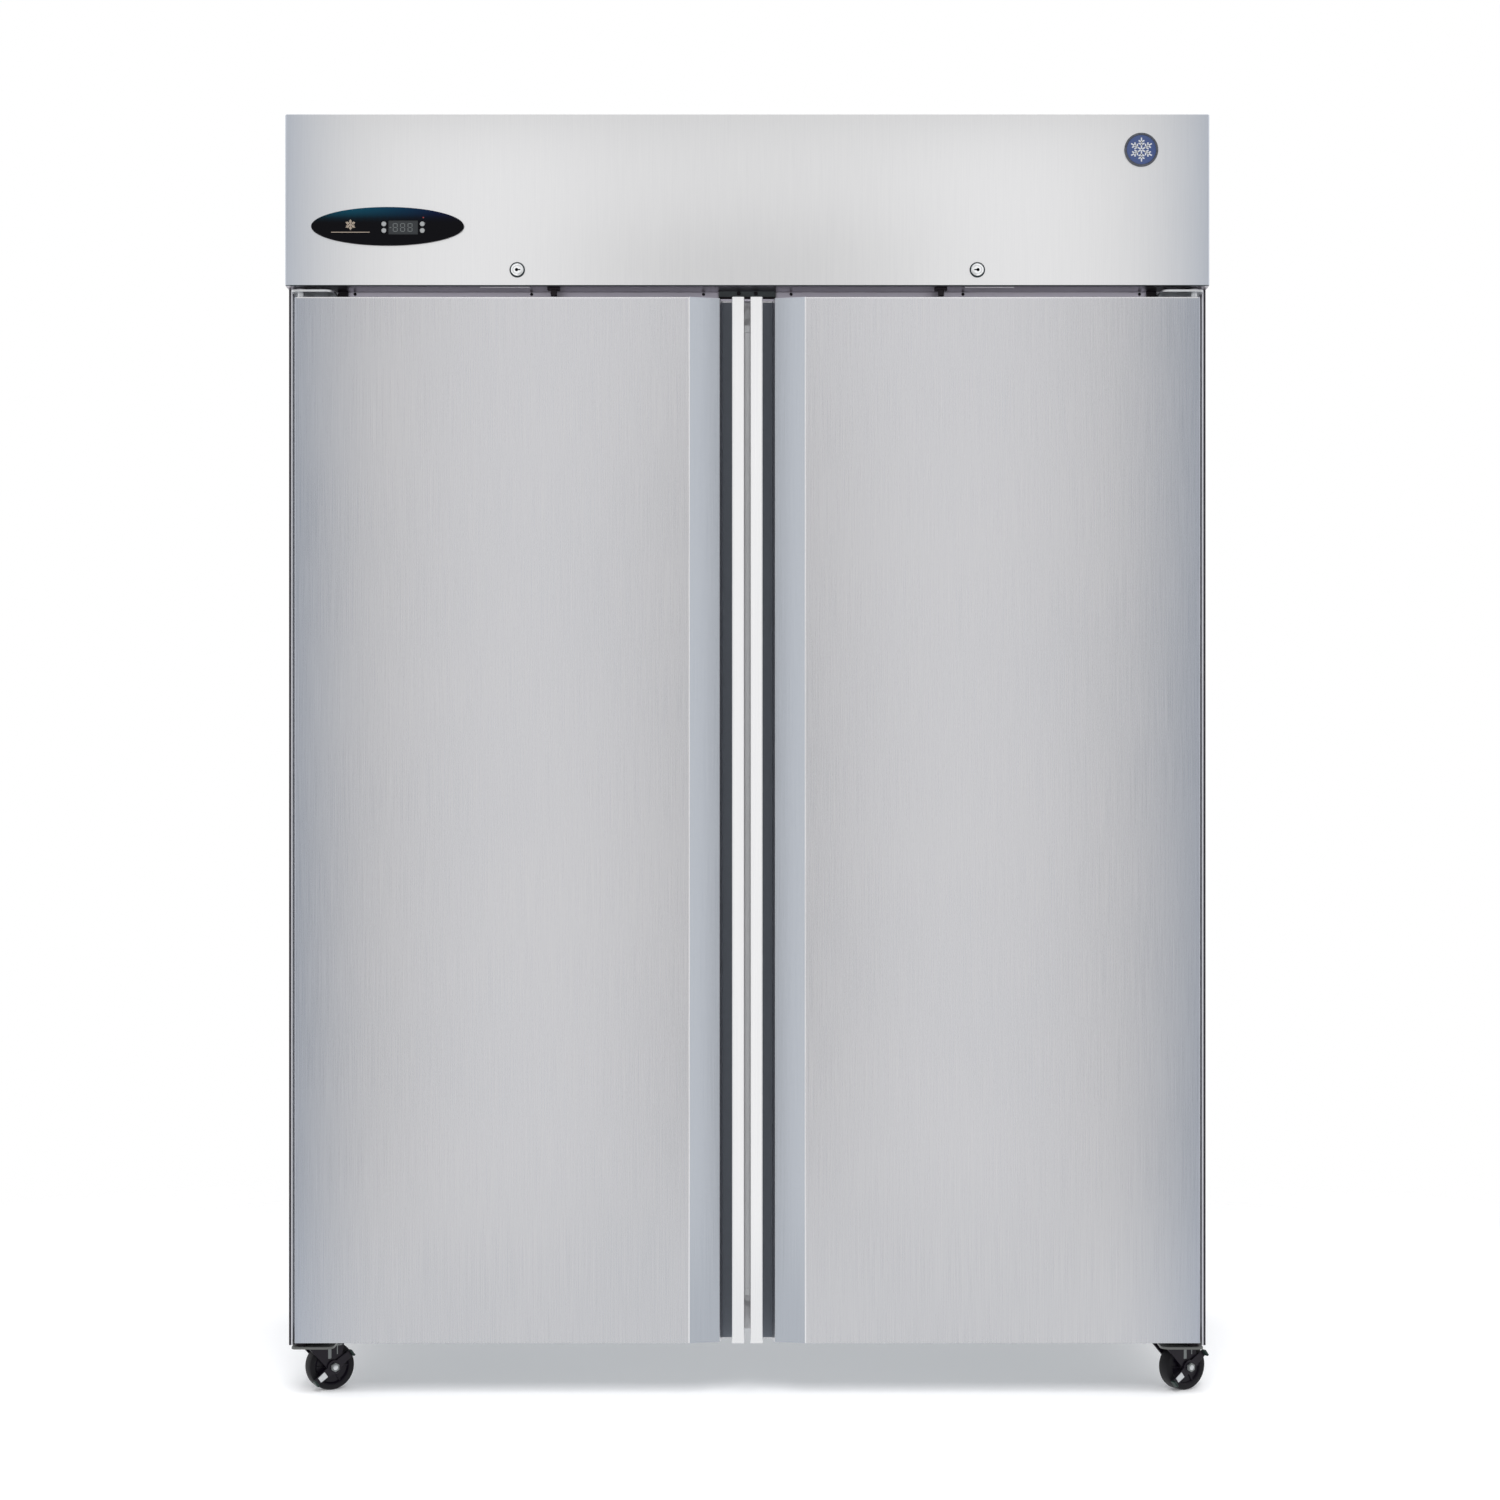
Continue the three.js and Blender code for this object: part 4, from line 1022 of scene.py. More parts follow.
def door_switch():
    bm = bmesh.new()
    block_solid(bm, (-298, -386, 1675.5), (-289, -378, rail_high + 0.1))
    block_solid(bm, (-303, -388, 1684), (-284, -372, rail_high + 0.1))
    block_solid(bm, (-624.5, -353, 1674), (-610, rail_face, rail_high))
    return bm


rail_steel = brushed("rail_stainless", (0.78, 0.75, 0.83), (0.66, 0.64, 0.72), CROSS_GRAIN, 0.4)
finish_pair("top_rail", top_rail, [rail_steel, black_nylon], "cabinet", "stainless", edge=0.3)
finish_pair("door_switch", door_switch, [black_nylon], "cabinet", "black_plastic", edge=0.6)
cap_grey = coated("cap_grey", (0.1, 0.115, 0.12), (0.07, 0.08, 0.085), 0.3, 400, 0.45, Specular_IOR_Level=0.3)
bm = bmesh.new()
block_solid(bm, (-cap_half, cap_front, cap_lip), (cap_half, cap_rear, rail_high))
block_solid(bm, (-cap_half, cap_front, cap_foot), (cap_half, cap_rear, cap_lip), material=1)
block_solid(bm, (1 - cap_half, cap_front + 2, strip_foot), (cap_half - 1, cap_rear, cap_foot), material=2)
for x in (-13, 13):
    block_solid(bm, (x - 2.5, -356, 1681), (x + 2.5, -353.5, 1686.5), material=1)
finish_piece("mullion_cap", bm, [cap_grey, black_nylon, rail_steel], "cabinet", "black_plastic", edge=0.6)

# ---- casters ------------------------------------------------------------------------------------
# Four swivel casters with 75 mm rubber wheels in black pressed forks, bolted under the cabinet by
# black plates. The front two have a rocker brake on the axle, with a pedal at each end.
trail, axle_z, wheel_radius = 15, 37.04, 37.04
leg_inner, leg_outer = 14, 17
rocker_tilt = -36
plate_low, plate_high = 98.7, 101.7
casters = {
    "front_left": (-659, -300, 30), "front_right": (659, -300, 30),
    "rear_left": (-659, 300, 150), "rear_right": (659, 300, 75),
}

fork_black = coated(
    "fork_black", (0.008, 0.005, 0.012), (0.035, 0.03, 0.038), 0.25, 300, 0.36, 0.2, (0.3, 0.0003),
    Specular_IOR_Level=0.3,
)
# Painted highlight: a lighter grey laid on thin strips over the fork legs and on the axle nut.
fork_highlight_grey = coated("fork_painted_highlight", (0.24, 0.26, 0.26), (0.1, 0.105, 0.1), 0.5, 300, 0.4, 0.2, (0.3, 0.0003))
tread_rubber = coated(
    "tread_rubber", (0.004, 0.0035, 0.006), (0.022, 0.02, 0.022), 0.3, 260, 0.6, 0.25, (0.4, 0.0004),
    Specular_IOR_Level=0.25,
)
wheel_plastic = coated(
    "wheel_plastic", (0.006, 0.004, 0.01), (0.03, 0.028, 0.03), 0.25, 500, 0.35, Specular_IOR_Level=0.25,
)
pedal_green = coated(
    "pedal_green", (0.012, 0.03, 0.026), (0.06, 0.07, 0.065), 0.3, 300, 0.4, Specular_IOR_Level=0.3,
)


def turn_caster(bm, place):
    """Turns a caster's part drawn along +X to the way that it points, and puts it in its place."""
    x, y, yaw = casters[place]
    turn = Matrix.Translation((x, y, 0)) @ Matrix.Rotation(math.radians(yaw), 4, "Z")
    bmesh.ops.transform(bm, matrix=turn, verts=bm.verts)


def caster_plate():
    bm = bmesh.new()
    corners = [(-32, -38, 7), (32, -38, 7), (32, 38, 7), (-32, 38, 7)]
    plan_solid(bm, corners, plate_low, plate_high)
    for x in (-23, 23):
        for y in (-29, 29):
            rod_solid(bm, (x, y, 98.9), (x, y, 97.9), 7.2, 24, 1)
            rod_solid(bm, (x, y, 98), (x, y, 93.6), 5.6, 6, 1)
    return bm


def caster_fork():
    bm = bmesh.new()
    plan_solid(bm, [(-33, -17, 8), (33, -17, 8), (33, 17, 8), (-33, 17, 8)], 84, 87)
    leg = [
        (-33, 85, 0), (-33, 76, 5), (trail - 10, axle_z - 2, 3), (trail - 6, axle_z - 10, 4),
        (trail + 6, axle_z - 10, 4), (trail + 10, axle_z - 2, 3), (33, 76, 5), (33, 85, 0),
    ]
    for y0, y1 in ((-leg_outer, -leg_inner), (leg_inner, leg_outer)):
        plan_solid(bm, leg, y0, y1, front_view)
    bearing = [(0, 85), (28, 85), (29, 86.2), (29, 90), (27.5, 92), (23.5, 92.4), (23, 93.4), (23, 98.4), (0, 98.4)]
    turned_solid(bm, bearing, (0, 0, 0), "Z", 48, 1)
    turned_solid(bm, [(0, 80.5), (7, 80.5), (8, 82), (8, 84.3), (0, 84.3)], (0, 0, 0), "Z", 24, 1)
    for start, end, radius, end_radius, sides, material in (
        (-25, 21, 4, 4, 20, 1),  # bolt
        (-24.6, -20.8, 7, 7, 6, 2),  # nut
        (-24.6, -25.6, 4, 2.6, 20, 1),  # bolt's end
        (leg_outer, 18, 8.6, 8.6, 28, 1),  # washer
        (17.9, 22, 7, 7, 6, 1),  # bolt's head
    ):
        rod_solid(bm, (trail, start, axle_z), (trail, end, axle_z), radius, sides, material, end_radius)
    # Thin strips on the leg face that carry the painted highlight.
    ribs = (
        (-25, 69.4, 29, 71.4), (trail - 9.4, 50, trail - 4, 69.8), (trail + 5, 56, trail + 6.6, 69.8),
    )
    for x0, z0, x1, z1 in ribs:
        block_solid(bm, (x0, -leg_outer - 0.27, z0), (x1, 0.1 - leg_outer, z1), 2)
    return bm


def caster_wheel():
    bm = bmesh.new()
    hub = [
        (4.5, -12.5), (9.5, -12.5), (11, -11.5), (12, -8), (25, -7.4), (27.4, -11.4), (28.5, -12), (28.5, 12),
        (27.4, 11.4), (25, 7.4), (12, 8), (11, 11.5), (9.5, 12.5), (4.5, 12.5), (4.5, -12.5),
    ]
    tread = [
        (28.5, -12), (33.5, -12), (36, -10.6), (wheel_radius, -7.5), (wheel_radius, 7.5), (36, 10.6), (33.5, 12),
        (28.5, 12), (28.5, -12),
    ]
    turned_solid(bm, hub, (trail, 0, axle_z), sides=64)
    turned_solid(bm, tread, (trail, 0, axle_z), sides=96, material=1)
    for spoke in range(6):
        verts = block_solid(bm, (11, -9.6, -1.2), (26.6, 9.6, 1.2))
        turn = Matrix.Translation((trail, 0, axle_z)) @ Matrix.Rotation(spoke * math.pi / 3, 4, "Y")
        bmesh.ops.transform(bm, matrix=turn, verts=verts)
    return bm


def caster_brake():
    bm = bmesh.new()
    y0, y1 = -20.3, -17.3
    rocker = [
        (-40, -4.6, 2), (-14, -6.4, 3), (14, -6.4, 3), (36, -4.6, 2), (36, 4.6, 2), (14, 6.4, 3), (-14, 6.4, 3),
        (-40, 4.6, 2),
    ]
    boss = [(4.6, y0 - 0.4), (10.4, y0 - 0.4), (11, y0 + 0.3), (11, y1), (4.6, y1), (4.6, y0 - 0.4)]
    plan_solid(bm, rocker, y0, y1, front_view)
    turned_solid(bm, boss, (0, 0, 0), sides=32)
    for x0, x1 in ((-40, -36.6), (32.6, 36)):
        plan_solid(bm, [(x0, y0 - 7, 1.2), (x1, y0 - 7, 1.2), (x1, y1, 0), (x0, y1, 0)], -5, 5, material=2)
    label = [(-31, -4.4, 1), (-17, -5, 1), (-17, 5, 1), (-31, 4.4, 1)]
    plan_solid(bm, label, y0 - 0.7, y0 + 0.5, front_view, 1)
    turn = Matrix.Translation((trail, 0, axle_z)) @ Matrix.Rotation(math.radians(rocker_tilt), 4, "Y")
    bmesh.ops.transform(bm, matrix=turn, verts=bm.verts)
    return bm


caster_parts = [
    ("mounting_plate", caster_plate, [fork_black, zinc_steel], "cabinet", "zinc_steel", "caster_plate_{}"),
    ("swivel_fork", caster_fork, [fork_black, zinc_steel, fork_highlight_grey], "caster_{}", "caster_black", "caster_fork_{}"),
    ("rubber_wheel", caster_wheel, [wheel_plastic, tread_rubber], "wheel_{}", "caster_tread", "caster_wheel_{}"),
    ("rocker_brake", caster_brake, [fork_black, zinc_steel, pedal_green], "brake_{}", "caster_black", "caster_brake_{}"),
]
for place in casters:
    for name, make, finishes, body, slot, stands_for in caster_parts:
        if name == "rocker_brake" and place.startswith("rear"):
            continue
        bm = make()
        if name == "mounting_plate":
            bmesh.ops.translate(bm, vec=(*casters[place][:2], 0), verts=bm.verts)
        else:
            turn_caster(bm, place)
        nodes = [stands_for.format(place)]
        finish_piece(f"{name}_{place}", bm, finishes, body.format(place), slot, nodes, edge=0.35)

# ---- liner and mullion --------------------------------------------------------------------------
# The cabinet is lined with one folded box of bright aluminium, and a folded post of the same sheet
# stands between the two door openings.
liner_sheet = brushed(
    "liner_sheet", (0.84, 0.85, 0.86), (0.74, 0.75, 0.77), CROSS_GRAIN, 0.4, 0.1, bump=(0.12, 0.0002),
)
wear(liner_sheet, "inner_liner", "mullion")

# ---- door liners --------------------------------------------------------------------------------
# Each door's back is one sheet of white plastic with a shallow raised panel, which the gasket's
# base clips into.
door_white = coated("door_white", (0.78, 0.79, 0.8), (0.55, 0.56, 0.56), 0.2, 500, 0.35, 0.12, (0.3, 0.0003))
wear(door_white, "door_liner_left", "door_liner_right")

# ---- gaskets ------------------------------------------------------------------------------------
# A soft grey vinyl bellows with a magnet strip in its face, welded at four mitred corners and
# pressed into the back of each door.
gasket_rubber = coated("gasket_rubber", (0.2, 0.205, 0.215), (0.4, 0.4, 0.4), 0.25, 700, 0.6, 0.2)


def door_gasket():
    bm = bmesh.new()
    section = [
        (0, -350.7), (22, -350.7), (22, -349), (18, -348.3), (16.8, -347.2), (19.6, -345.6), (20.4, -343.6),
        (19, -341.8), (17, -341.35), (6, -341.35), (3, -341.8), (1.4, -343.6), (2.2, -345.6), (5, -347.2),
        (3.8, -348.3), (0, -349),
    ]
    corners = [(-676, 106, 1, 1), (-12, 106, -1, 1), (-12, 1663, -1, -1), (-676, 1663, 1, -1)]
    loops = []
    for x, z, way_x, way_z in corners:
        ring = [bm.verts.new((x + inward * way_x, y, z + inward * way_z)) for inward, y in section]
        loops.append([bm.edges.new((ring[i - 1], ring[i])) for i in range(len(ring))])
    for index in range(4):
        bmesh.ops.bridge_loops(bm, edges=loops[index - 1] + loops[index])
    bmesh.ops.recalc_face_normals(bm, faces=bm.faces)
    return bm


finish_pair("bellows_gasket", door_gasket, [gasket_rubber], "door_{}", "gasket", ["door_gasket_{}"])

# ---- shelf standards ----------------------------------------------------------------------------
# Slotted steel strips screwed up the side walls, and two slotted channels up the middle. Zinc clips
# hook into them under each corner of a shelf.
slot_pitch, slot_count = 12.7, 100
standards_low = 186
shelf_tops = (480, 800, 1120)
standards = [
    (-640.3, -638.2, -248, -232), (-640.3, -638.2, 282, 298),
    (-10, -8.4, -295, -286.6), (-10, -8.4, 334.6, 343.2),
]


def side_view(y, z, x):
    """Place for a shape drawn as seen from the side, y and z, and extruded along x."""
    return (x, y, z)


def add_standards(side):
    for number, (x0, x1, y0, y1) in enumerate(standards, 1):
        bm = bmesh.new()
        mid, half = (y0 + y1) / 2, min(3, (y1 - y0) / 4)
        low, high = slot_pitch * 0.2, slot_pitch * 0.8
        rim = [(y0, 0), (y1, 0), (y1, slot_pitch), (y0, slot_pitch)]
        slot = [(mid - half, low), (mid + half, low), (mid + half, high), (mid - half, high)]
        plate_solid(bm, [rim, slot], x0, x1, side_view)
        bmesh.ops.translate(bm, vec=(0, 0, standards_low), verts=bm.verts)
        piece = finish_piece(
            f"{side}_standard_{number}", bm, [zinc_steel], "cabinet", "zinc_steel", mirrored=side == "right",
        )
        repeat = piece.modifiers.new("slots", "ARRAY")
        repeat.count = slot_count
        repeat.use_relative_offset = False
        repeat.use_constant_offset = True
        repeat.constant_offset_displace = (0, 0, slot_pitch * MM)


def shelf_clips():
    bm = bmesh.new()
    for top in shelf_tops:
        for x0, x1, y0, y1 in standards:
            mid = (y0 + y1) / 2
            reach = (x1 - 1, x1 + 14) if x0 < -600 else (x0 - 13, x0 + 1)
            low, high = top - 11.5, top - 8.3
            tongue = [(mid - 6, low, 1), (mid + 6, low, 1), (mid + 6, high, 1), (mid - 6, high, 1)]
            plan_solid(bm, tongue, *reach, side_view)
            edge = (reach[1] - 2, reach[1]) if x0 < -600 else (reach[0], reach[0] + 2)
            block_solid(bm, (edge[0], mid - 6, top - 24), (edge[1], mid + 6, top - 9))
    return bm


for side in ("left", "right"):
    add_standards(side)
finish_pair("shelf_clips", shelf_clips, [zinc_steel], "cabinet", "zinc_steel", edge=0.3)

# ---- shelves ------------------------------------------------------------------------------------
# Three shelves in each half, welded from steel wire and dipped in pale grey epoxy. Thin wires run
# from front to back over three stiffer ones and a round frame.
shelf_out, shelf_in, shelf_front, shelf_rear = -630, -12, -285, 332
wire_count = 25
epoxy_wire = coated(
    "epoxy_wire", (0.6, 0.62, 0.63), (0.4, 0.4, 0.4), 0.3, 500, 0.28, 0.15, Coat_Weight=0.3,
)


def add_shelf(side, number, top):
    bm = bmesh.new()
    rail = 3
    z = top - 5
    x0, x1, y0, y1 = shelf_out + rail, shelf_in - rail, shelf_front + rail, shelf_rear - rail
    ring = [(x0, y0, z), (x1, y0, z), (x1, y1, z), (x0, y1, z)]
    for start, end in zip(ring, ring[1:] + ring[:1]):
        rod_solid(bm, start, end, rail, 12)
    for x in (x0, x1):
        for y in (y0, y1):
            corner = Matrix.Translation((x, y, z))
            bmesh.ops.create_uvsphere(bm, u_segments=12, v_segments=8, radius=rail, matrix=corner)
    for y in (-150, 23, 196):
        rod_solid(bm, (x0, y, top - 5.2), (x1, y, top - 5.2), 2.4, 10)
    for index in range(wire_count):
        x = x0 + (index + 0.5) * (x1 - x0) / wire_count
        rod_solid(bm, (x, y0, top - 1.7), (x, y1, top - 1.7), 1.6, 8)
    finish_piece(
        f"wire_shelf_{side}_{number}", bm, [epoxy_wire], "cabinet", "shelf_wire", [f"shelf_{side}_{number}"],
        side == "right",
    )


for side in ("left", "right"):
    for number, top in enumerate(shelf_tops, 1):
        add_shelf(side, number, top)

# ---- interior lamps -----------------------------------------------------------------------------
# A frosted strip lamp in an aluminium base on the ceiling, behind the top of each door.
frosted = coated("frosted_lens", (0.86, 0.87, 0.88), (0.7, 0.7, 0.7), 0.2, 300, 0.35, Transmission_Weight=0.15)


def strip_lamp():
    bm = bmesh.new()
    block_solid(bm, (-470, -300, 1620), (-210, -258, 1626.2), 1)
    section = [
        (-297, 1620.5, 0), (-297, 1612, 5), (-288, 1606, 6), (-270, 1606, 6), (-261, 1612, 5), (-261, 1620.5, 0),
    ]
    plan_solid(bm, section, -466, -214, side_view)
    return bm


finish_pair("strip_lamp", strip_lamp, [frosted, liner_sheet], "cabinet", "liner_steel", edge=0.5)

# ---- evaporator ---------------------------------------------------------------------------------
# The cooling coil hangs under the ceiling in a folded aluminium pan. A small fan behind a wire
# guard blows through it, and the pan catches what melts off the fins.
evaporator_fan_place = (0, -24, 1552)
coil_metal = brushed("coil_fins", (0.78, 0.79, 0.8), (0.62, 0.63, 0.65), (40, 40, 40), 0.4, bump=(0.1, 0.0003))
copper = brushed("copper_pipe", (0.72, 0.33, 0.19), (0.4, 0.17, 0.1), (60, 60, 60), 0.3, 0.2, 12)
fan_plastic = coated("fan_plastic", (0.014, 0.014, 0.017), (0.12, 0.12, 0.12), 0.5, 500, 0.4)
motor_grey = coated("motor_grey", (0.1, 0.105, 0.11), (0.25, 0.25, 0.24), 0.5, 300, 0.45, Metallic=0.6)
wear(liner_sheet, "evaporator_housing")


def wire_ring(bm, centre, radius, wire):
    section = [
        (radius + wire * math.cos(i * math.pi / 3), wire * math.sin(i * math.pi / 3)) for i in range(6)
    ]
    turned_solid(bm, section + section[:1], centre)


def fan_guard(centre, reach, rings, name):
    """A guard of wire rings welded to four spokes, screwed over a fan opening."""
    bm = bmesh.new()
    for ring in range(rings):
        wire_ring(bm, centre, reach * (ring + 1) / rings, 1.2)
    behind = Vector(centre) + Vector((0, 1.6, 0))
    for spoke in range(4):
        turn = spoke * math.pi / 2 + 0.785
        way = Vector((math.cos(turn), 0, math.sin(turn)))
        rod_solid(bm, behind + way * reach / rings, behind + way * (reach + 5), 1.5, 8)
    finish_piece(name, bm, [zinc_steel], "cabinet", "zinc_steel")


def fan_rotor(centre, radius, hub, deep, blades, name, body, stands_for):
    bm = bmesh.new()
    half = deep / 2
    for blade in range(blades):
        start = 2 * math.pi * blade / blades
        root, tip = hub * 0.92, radius
        verts = [
            bm.verts.new((reach * math.cos(start), reach * math.sin(start), -half * 0.8))
            for reach in (root, (root + tip) / 2, tip)
        ]
        edges = [bm.edges.new(verts[i:i + 2]) for i in range(2)]
        steps = 8
        bmesh.ops.spin(
            bm, geom=verts + edges, cent=(0, 0, 0), axis=(0, 0, 1), angle=math.radians(52), steps=steps,
            dvec=(0, 0, 1.6 * half / steps),
        )
    bmesh.ops.solidify(bm, geom=list(bm.faces), thickness=1.6)
    turn = Matrix.Translation(centre) @ Matrix.Rotation(-math.pi / 2, 4, "X")
    bmesh.ops.transform(bm, matrix=turn, verts=bm.verts)
    profile = [(0, -half), (hub * 0.8, -half), (hub, 2 - half), (hub, half), (hub * 0.7, half), (0, half - 2)]
    turned_solid(bm, profile, centre, sides=40)
    finish_piece(name, bm, [fan_plastic], body, "fan_plastic", [stands_for])


def fan_motor(centre, radius, long, arm, name):
    """A round motor behind its fan, held by three flat arms."""
    bm = bmesh.new()
    x, y, z = centre
    rear = y + long
    can = [(0, y), (radius * 0.8, y), (radius, y + 3), (radius, rear - 4), (radius * 0.75, rear), (0, rear)]
    turned_solid(bm, can, (x, 0, z), sides=40)
    for index in range(3):
        verts = block_solid(bm, (-6, y + 5, 0), (6, y + 7.5, arm), 1)
        turn = Matrix.Translation((x, 0, z)) @ Matrix.Rotation(math.radians(60 + 120 * index), 4, "Y")
        bmesh.ops.transform(bm, matrix=turn, verts=verts)
    finish_piece(name, bm, [motor_grey, zinc_steel], "cabinet", "fan_plastic", edge=0.4)


fan_guard((0, -42.5, 1552), 64, 6, "evaporator_guard")
fan_rotor(evaporator_fan_place, 58, 20, 16, 5, "evaporator_rotor", "evaporator_fan", "evaporator_fan")
fan_motor((0, -14, 1552), 24, 40, 66, "evaporator_motor")


def fin_pack(bm, low, high, pitch, tube_rows, tube_columns, tube_radius):
    """Thin upright fins pressed on copper tubes, with a bend joining each pair of tube ends."""
    count = int((high[0] - low[0]) / pitch)
    for index in range(count):
        x = low[0] + (index + 0.5) * pitch
        block_solid(bm, (x - 0.4, low[1], low[2]), (x + 0.4, high[1], high[2]))
    for row in range(tube_rows):
        z = low[2] + (row + 0.5) * (high[2] - low[2]) / tube_rows
        for column in range(tube_columns):
            y = low[1] + (column + 0.5) * (high[1] - low[1]) / tube_columns
            rod_solid(bm, (low[0] - 5, y, z), (high[0] + 5, y, z), tube_radius, 10, 1)
        step = (high[1] - low[1]) / tube_columns
        y0 = low[1] + 0.5 * step
        for end, way in ((low[0] - 4.5, -1), (high[0] + 4.5, 1)):
            for column in range(0, tube_columns - 1, 2):
                middle = y0 + (column + 0.5) * step
                mouth = Matrix.Translation((end, middle - step / 2, z)) @ Matrix.Rotation(math.pi / 2, 4, "Y")
                ring = bmesh.ops.create_circle(bm, segments=8, radius=tube_radius, matrix=mouth)["verts"]
                edges = list({e for v in ring for e in v.link_edges})
                bmesh.ops.spin(
                    bm, geom=list(ring) + edges, cent=(end, middle, z), axis=(0, 0, 1), angle=-way * math.pi,
                    steps=8,
                )
                new_faces = set(faces_round(ring))
                grown = set(new_faces)
                while grown:
                    grown = {g for f in grown for e in f.edges for g in e.link_faces} - new_faces
                    new_faces |= grown
                paint_faces(new_faces, 1)
                bmesh.ops.recalc_face_normals(bm, faces=list(new_faces))


bm = bmesh.new()
fin_pack(bm, (-209, 90, 1494), (209, 210, 1614), 4.4, 5, 4, 4.6)
for x in (-216, 214):
    block_solid(bm, (x, 87, 1488), (x + 2, 213, 1620), 2)
coil_finishes = [coil_metal, copper, galvanised_sheet]
finish_piece("evaporator_fins", bm, coil_finishes, "cabinet", "coil_fins", ["evaporator_coil"])

# ---- condenser ----------------------------------------------------------------------------------
# An aluminium fin pack on copper tubes at the back of the machine compartment. A galvanised shroud
# on its front holds the fan that draws air through it.
deck_z = 1688
core_low, core_high = (-330, 330, 1700), (70, 394, 1920)
condenser_fan_place = (-130, 256, 1812)
shroud_y, shroud_hole = 262, 100

bm = bmesh.new()
fin_pack(bm, (core_low[0] + 2, *core_low[1:]), (core_high[0] - 2, *core_high[1:]), 4, 8, 2, 5)
for x in (core_low[0] - 3, core_high[0] - 1):
    block_solid(bm, (x, core_low[1] - 3, deck_z + 0.3), (x + 4, core_high[1] + 3, core_high[2] + 5), 2)
finish_piece("condenser_fins", bm, coil_finishes, "cabinet", "coil_fins", ["condenser"])

bm = bmesh.new()
x0, x1, z0, z1 = core_low[0], core_high[0], core_low[2], core_high[2]
rim = [(x0, z0), (x1, z0), (x1, z1), (x0, z1)]
mouth = ring_points((condenser_fan_place[0], condenser_fan_place[2]), (shroud_hole, shroud_hole), 56)
plate_solid(bm, [rim, mouth], shroud_y, shroud_y + 1.5, front_view)
for low, high in (
    ((x0, z0), (x0 + 1.5, z1)), ((x1 - 1.5, z0), (x1, z1)), ((x0 + 1.5, z0), (x1 - 1.5, z0 + 1.5)),
    ((x0 + 1.5, z1 - 1.5), (x1 - 1.5, z1)),
):
    block_solid(bm, (low[0], shroud_y + 1.5, low[1]), (high[0], core_low[1] + 1, high[1]))
for x in (x0 + 14, x1 - 14):
    for z in (z0 + 14, z1 - 14):
        screw_head(bm, (x, shroud_y, z), (0, -1, 0))
finish_piece("condenser_shroud", bm, [galvanised_sheet], "cabinet", "galvanised")
fan_guard((condenser_fan_place[0], 240, condenser_fan_place[2]), 104, 8, "condenser_guard")
fan_rotor(condenser_fan_place, 92, 30, 22, 5, "condenser_rotor", "condenser_fan", "condenser_fan")
fan_motor((condenser_fan_place[0], 269, condenser_fan_place[2]), 34, 52, 104, "condenser_motor")

# ---- compressor ---------------------------------------------------------------------------------
# A hermetic shell of two pressed steel cups welded round the middle, painted black, on a plate with
# four rubber feet. A cover on its side hides the terminals.
compressor_x, compressor_y = 300, 190
shell_black = coated(
    "shell_black", (0.012, 0.012, 0.014), (0.12, 0.115, 0.105), 0.7, 120, 0.3, 0.2, (0.25, 0.0006),
    Coat_Weight=0.35,
)
foot_rubber = coated("foot_rubber", (0.02, 0.02, 0.022), (0.1, 0.1, 0.1), 0.5, 400, 0.75)
compressor_base = deck_z + 0.3

bm = bmesh.new()
shell = [
    (0, 8), (60, 8), (70, 11), (78, 19), (80, 28), (80, 62), (83.6, 63), (84, 68), (83.6, 73), (80, 74), (80, 130),
    (78, 146), (71, 161), (58, 173), (38, 181.5), (18, 185), (0, 186),
]
turned_solid(bm, shell, (compressor_x, compressor_y, compressor_base), "Z", 72)
foot_top, plate_top = compressor_base + 6.2, compressor_base + 11
corners = [(-100, -92, 12), (100, -92, 12), (100, 92, 12), (-100, 92, 12)]
plan_solid(bm, [(compressor_x + a, compressor_y + b, r) for a, b, r in corners], foot_top, plate_top)
for x in (-84, 84):
    for y in (-76, 76):
        foot = (compressor_x + x, compressor_y + y, compressor_base)
        rubber = [(0, 0), (12, 0), (12, 2), (9.5, 3.2), (12, 4.6), (12, 6.4), (0, 6.4)]
        turned_solid(bm, rubber, foot, "Z", 24, 1)
        rod_solid(bm, (*foot[:2], plate_top), (*foot[:2], plate_top + 5), 6.5, 6, 2)
corners = [(-28, -96, 6), (28, -96, 6), (28, -70, 0), (-28, -70, 0)]
cover = [(compressor_x + a, compressor_y + b, r) for a, b, r in corners]
plan_solid(bm, cover, compressor_base + 84, compressor_base + 140, material=3)
for angle, up, radius, long in ((200, 118, 6, 26), (165, 96, 4.5, 24), (225, 100, 4.5, 20)):
    way = Vector((math.cos(math.radians(angle)), math.sin(math.radians(angle)), 0))
    foot = Vector((compressor_x, compressor_y, compressor_base + up)) + way * 76
    rod_solid(bm, foot, foot + way * long, radius, 16, 4)
finish_piece(
    "compressor_shell", bm, [shell_black, foot_rubber, zinc_steel, black_nylon, copper], "cabinet",
    "compressor_black", ["compressor"], edge=0.5,
)

# ---- pipes, receiver and drier ------------------------------------------------------------------
# Soft copper pipes brazed from the compressor to the condenser, through a steel receiver and a spun
# copper drier, and down through the deck to the evaporator.
pipe_foam = coated("pipe_foam", (0.018, 0.018, 0.018), (0.1, 0.1, 0.1), 0.6, 300, 0.85, 0.1, (0.6, 0.0008))
receiver_x, receiver_y = 150, 335


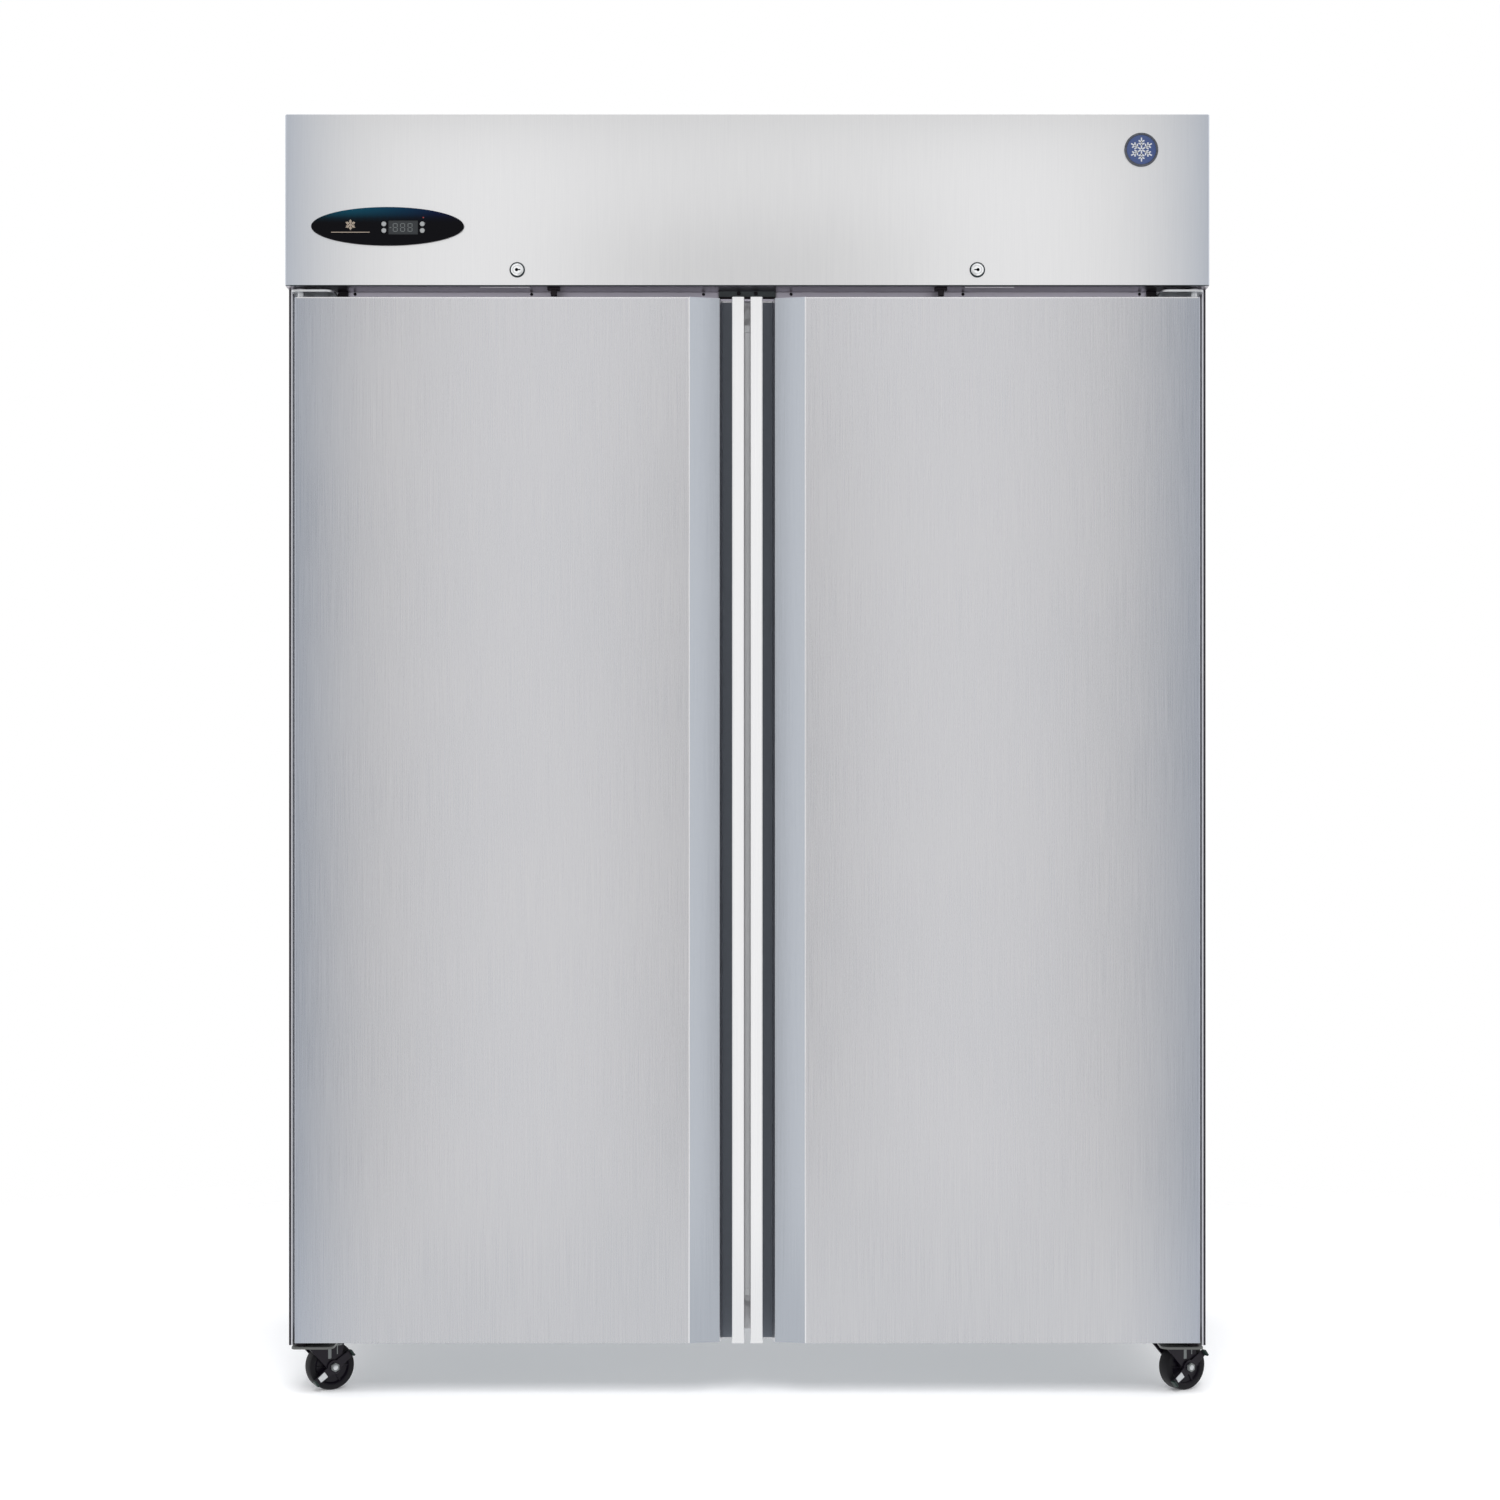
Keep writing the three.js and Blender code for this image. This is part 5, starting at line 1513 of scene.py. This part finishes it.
def pipe(name, points, radius, finish):
    """A bent pipe along a smooth path, drawn in millimetres."""
    curve = bpy.data.curves.new(name, "CURVE")
    curve.dimensions = "3D"
    curve.bevel_depth = radius * MM
    curve.bevel_resolution = 3
    curve.use_fill_caps = True
    spline = curve.splines.new("NURBS")
    spline.points.add(len(points) - 1)
    for point, place in zip(spline.points, points):
        point.co = (*(Vector(place) * MM), 1)
    spline.order_u = 3
    spline.use_endpoint_u = True
    spline.resolution_u = 6
    curve.materials.append(finish)
    piece = bpy.data.objects.new(name, curve)
    scene.collection.objects.link(piece)
    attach(piece, "cabinet")


bm = bmesh.new()
tank = [(0, 0), (30, 2), (33, 8), (33, 130), (28, 146), (14, 154), (0, 156)]
turned_solid(bm, tank, (receiver_x, receiver_y, 1694), "Z", 40)
for z in (1720, 1806):
    strap = [(33, z), (35, z), (35, z + 10), (33, z + 10), (33, z)]
    turned_solid(bm, strap, (receiver_x, receiver_y, 0), "Z", 40, 1)
block_solid(bm, (118, 300, 1688.4), (182, 370, 1694.5), 1)
finish_piece("receiver", bm, [shell_black, zinc_steel], "cabinet", "compressor_black", edge=0.4)
bm = bmesh.new()
spun_shell = [(0, 0), (5, 0), (5, 14), (14, 28), (14, 96), (5, 112), (5, 126), (0, 126)]
turned_solid(bm, spun_shell, (150, 232, 1712), "Z", 32)
finish_piece("filter_drier", bm, [copper], "cabinet", "coil_fins")

pipe("discharge_pipe", [
    (204, 154, 1806), (176, 146, 1808), (168, 146, 1840), (166, 200, 1900), (120, 300, 1900), (82, 348, 1896),
    (68, 348, 1896),
], 4.6, copper)
pipe("liquid_pipe", [
    (68, 346, 1712), (92, 346, 1712), (120, 338, 1740), (124, 336, 1700), (150, 300, 1702), (150, 268, 1700),
    (150, 232, 1700), (150, 232, 1714),
], 4, copper)
pipe("capillary_pipe", [
    (150, 232, 1836), (150, 232, 1862), (150, 190, 1862), (110, 150, 1830), (60, 150, 1760), (60, 150, 1690),
], 2.6, copper)
pipe("suction_pipe", [
    (84, 150, 1690), (84, 150, 1770), (84, 110, 1830), (150, 100, 1848), (196, 120, 1820), (206, 150, 1788),
], 9, pipe_foam)

# ---- control box, conduit and gland -------------------------------------------------------------
# A folded galvanised cover over the relay and terminals, a ribbed conduit that carries the wires to
# the compressor, and the gland that the supply cord leaves by.
box_low, box_high = (-640, -325, 1688.3), (-430, -215, 1800)
gland_place = (-600, 0, 1728)
wear(galvanised_sheet, "control_box")

bm = bmesh.new()
for x in (box_low[0] + 14, box_high[0] - 14):
    for z in (box_low[2] + 14, box_high[2] - 14):
        screw_head(bm, (x, box_high[1], z), (0, 1, 0))
block_solid(bm, (-560, box_high[1], 1745), (-500, box_high[1] + 1, 1775))
for index in range(7):
    vent_y = -300 + index * 11
    block_solid(bm, (box_high[0] - 0.4, vent_y, 1720), (box_high[0] + 0.8, vent_y + 5, 1780), 1)
finish_piece("control_box_trim", bm, [zinc_steel, black_nylon], "cabinet", "zinc_steel", edge=0.3)

bm = bmesh.new()
sleeve = [
    (4.2, -223), (8.8, -223), (8.8, -214.7), (13, -214.7), (13, -213.6), (11.6, -213), (11.6, -208), (10, -207),
    (10, -201), (8.6, -197), (7, -195), (4.2, -195), (4.2, -223),
]
turned_solid(bm, sleeve, gland_place, sides=40)
for inner, outer, rear, front in ((8.8, 12.8, -220.6, -217), (9.6, 13, -211.6, -208)):
    nut = [(inner, rear), (outer, rear), (outer, front), (inner, front), (inner, rear)]
    turned_solid(bm, nut, gland_place, sides=6)
finish_piece("cord_gland", bm, [black_nylon], "cabinet", "black_plastic", ["power_gland"])


def ribbed_conduit():
    """Black corrugated plastic: its ribs follow the length of the tube's own UV map."""
    material = coated("ribbed_conduit", (0.015, 0.015, 0.017), (0.1, 0.1, 0.1), 0.4, 400, 0.45)
    tree = material.node_tree
    relief = next(n for n in tree.nodes if n.type == "BUMP")
    along = node(tree, "SeparateXYZ", {0: node(tree, "TexCoord").outputs["UV"]})
    turns = node(tree, "Math", {0: along.outputs["X"], 1: 1100}, operation="MULTIPLY")
    ribs = node(tree, "Math", {0: turns}, operation="SINE")
    tree.links.new(ribs.outputs[0], relief.inputs["Height"])
    relief.inputs["Strength"].default_value = 0.8
    relief.inputs["Distance"].default_value = 0.002
    return material


pipe("wire_conduit", [
    (-432, -250, 1716), (-400, -250, 1702), (-300, -240, 1700), (-150, -60, 1700), (60, 0, 1700), (200, 20, 1702),
    (290, 50, 1720), (300, 70, 1790), (300, 92, 1800),
], 8, ribbed_conduit())
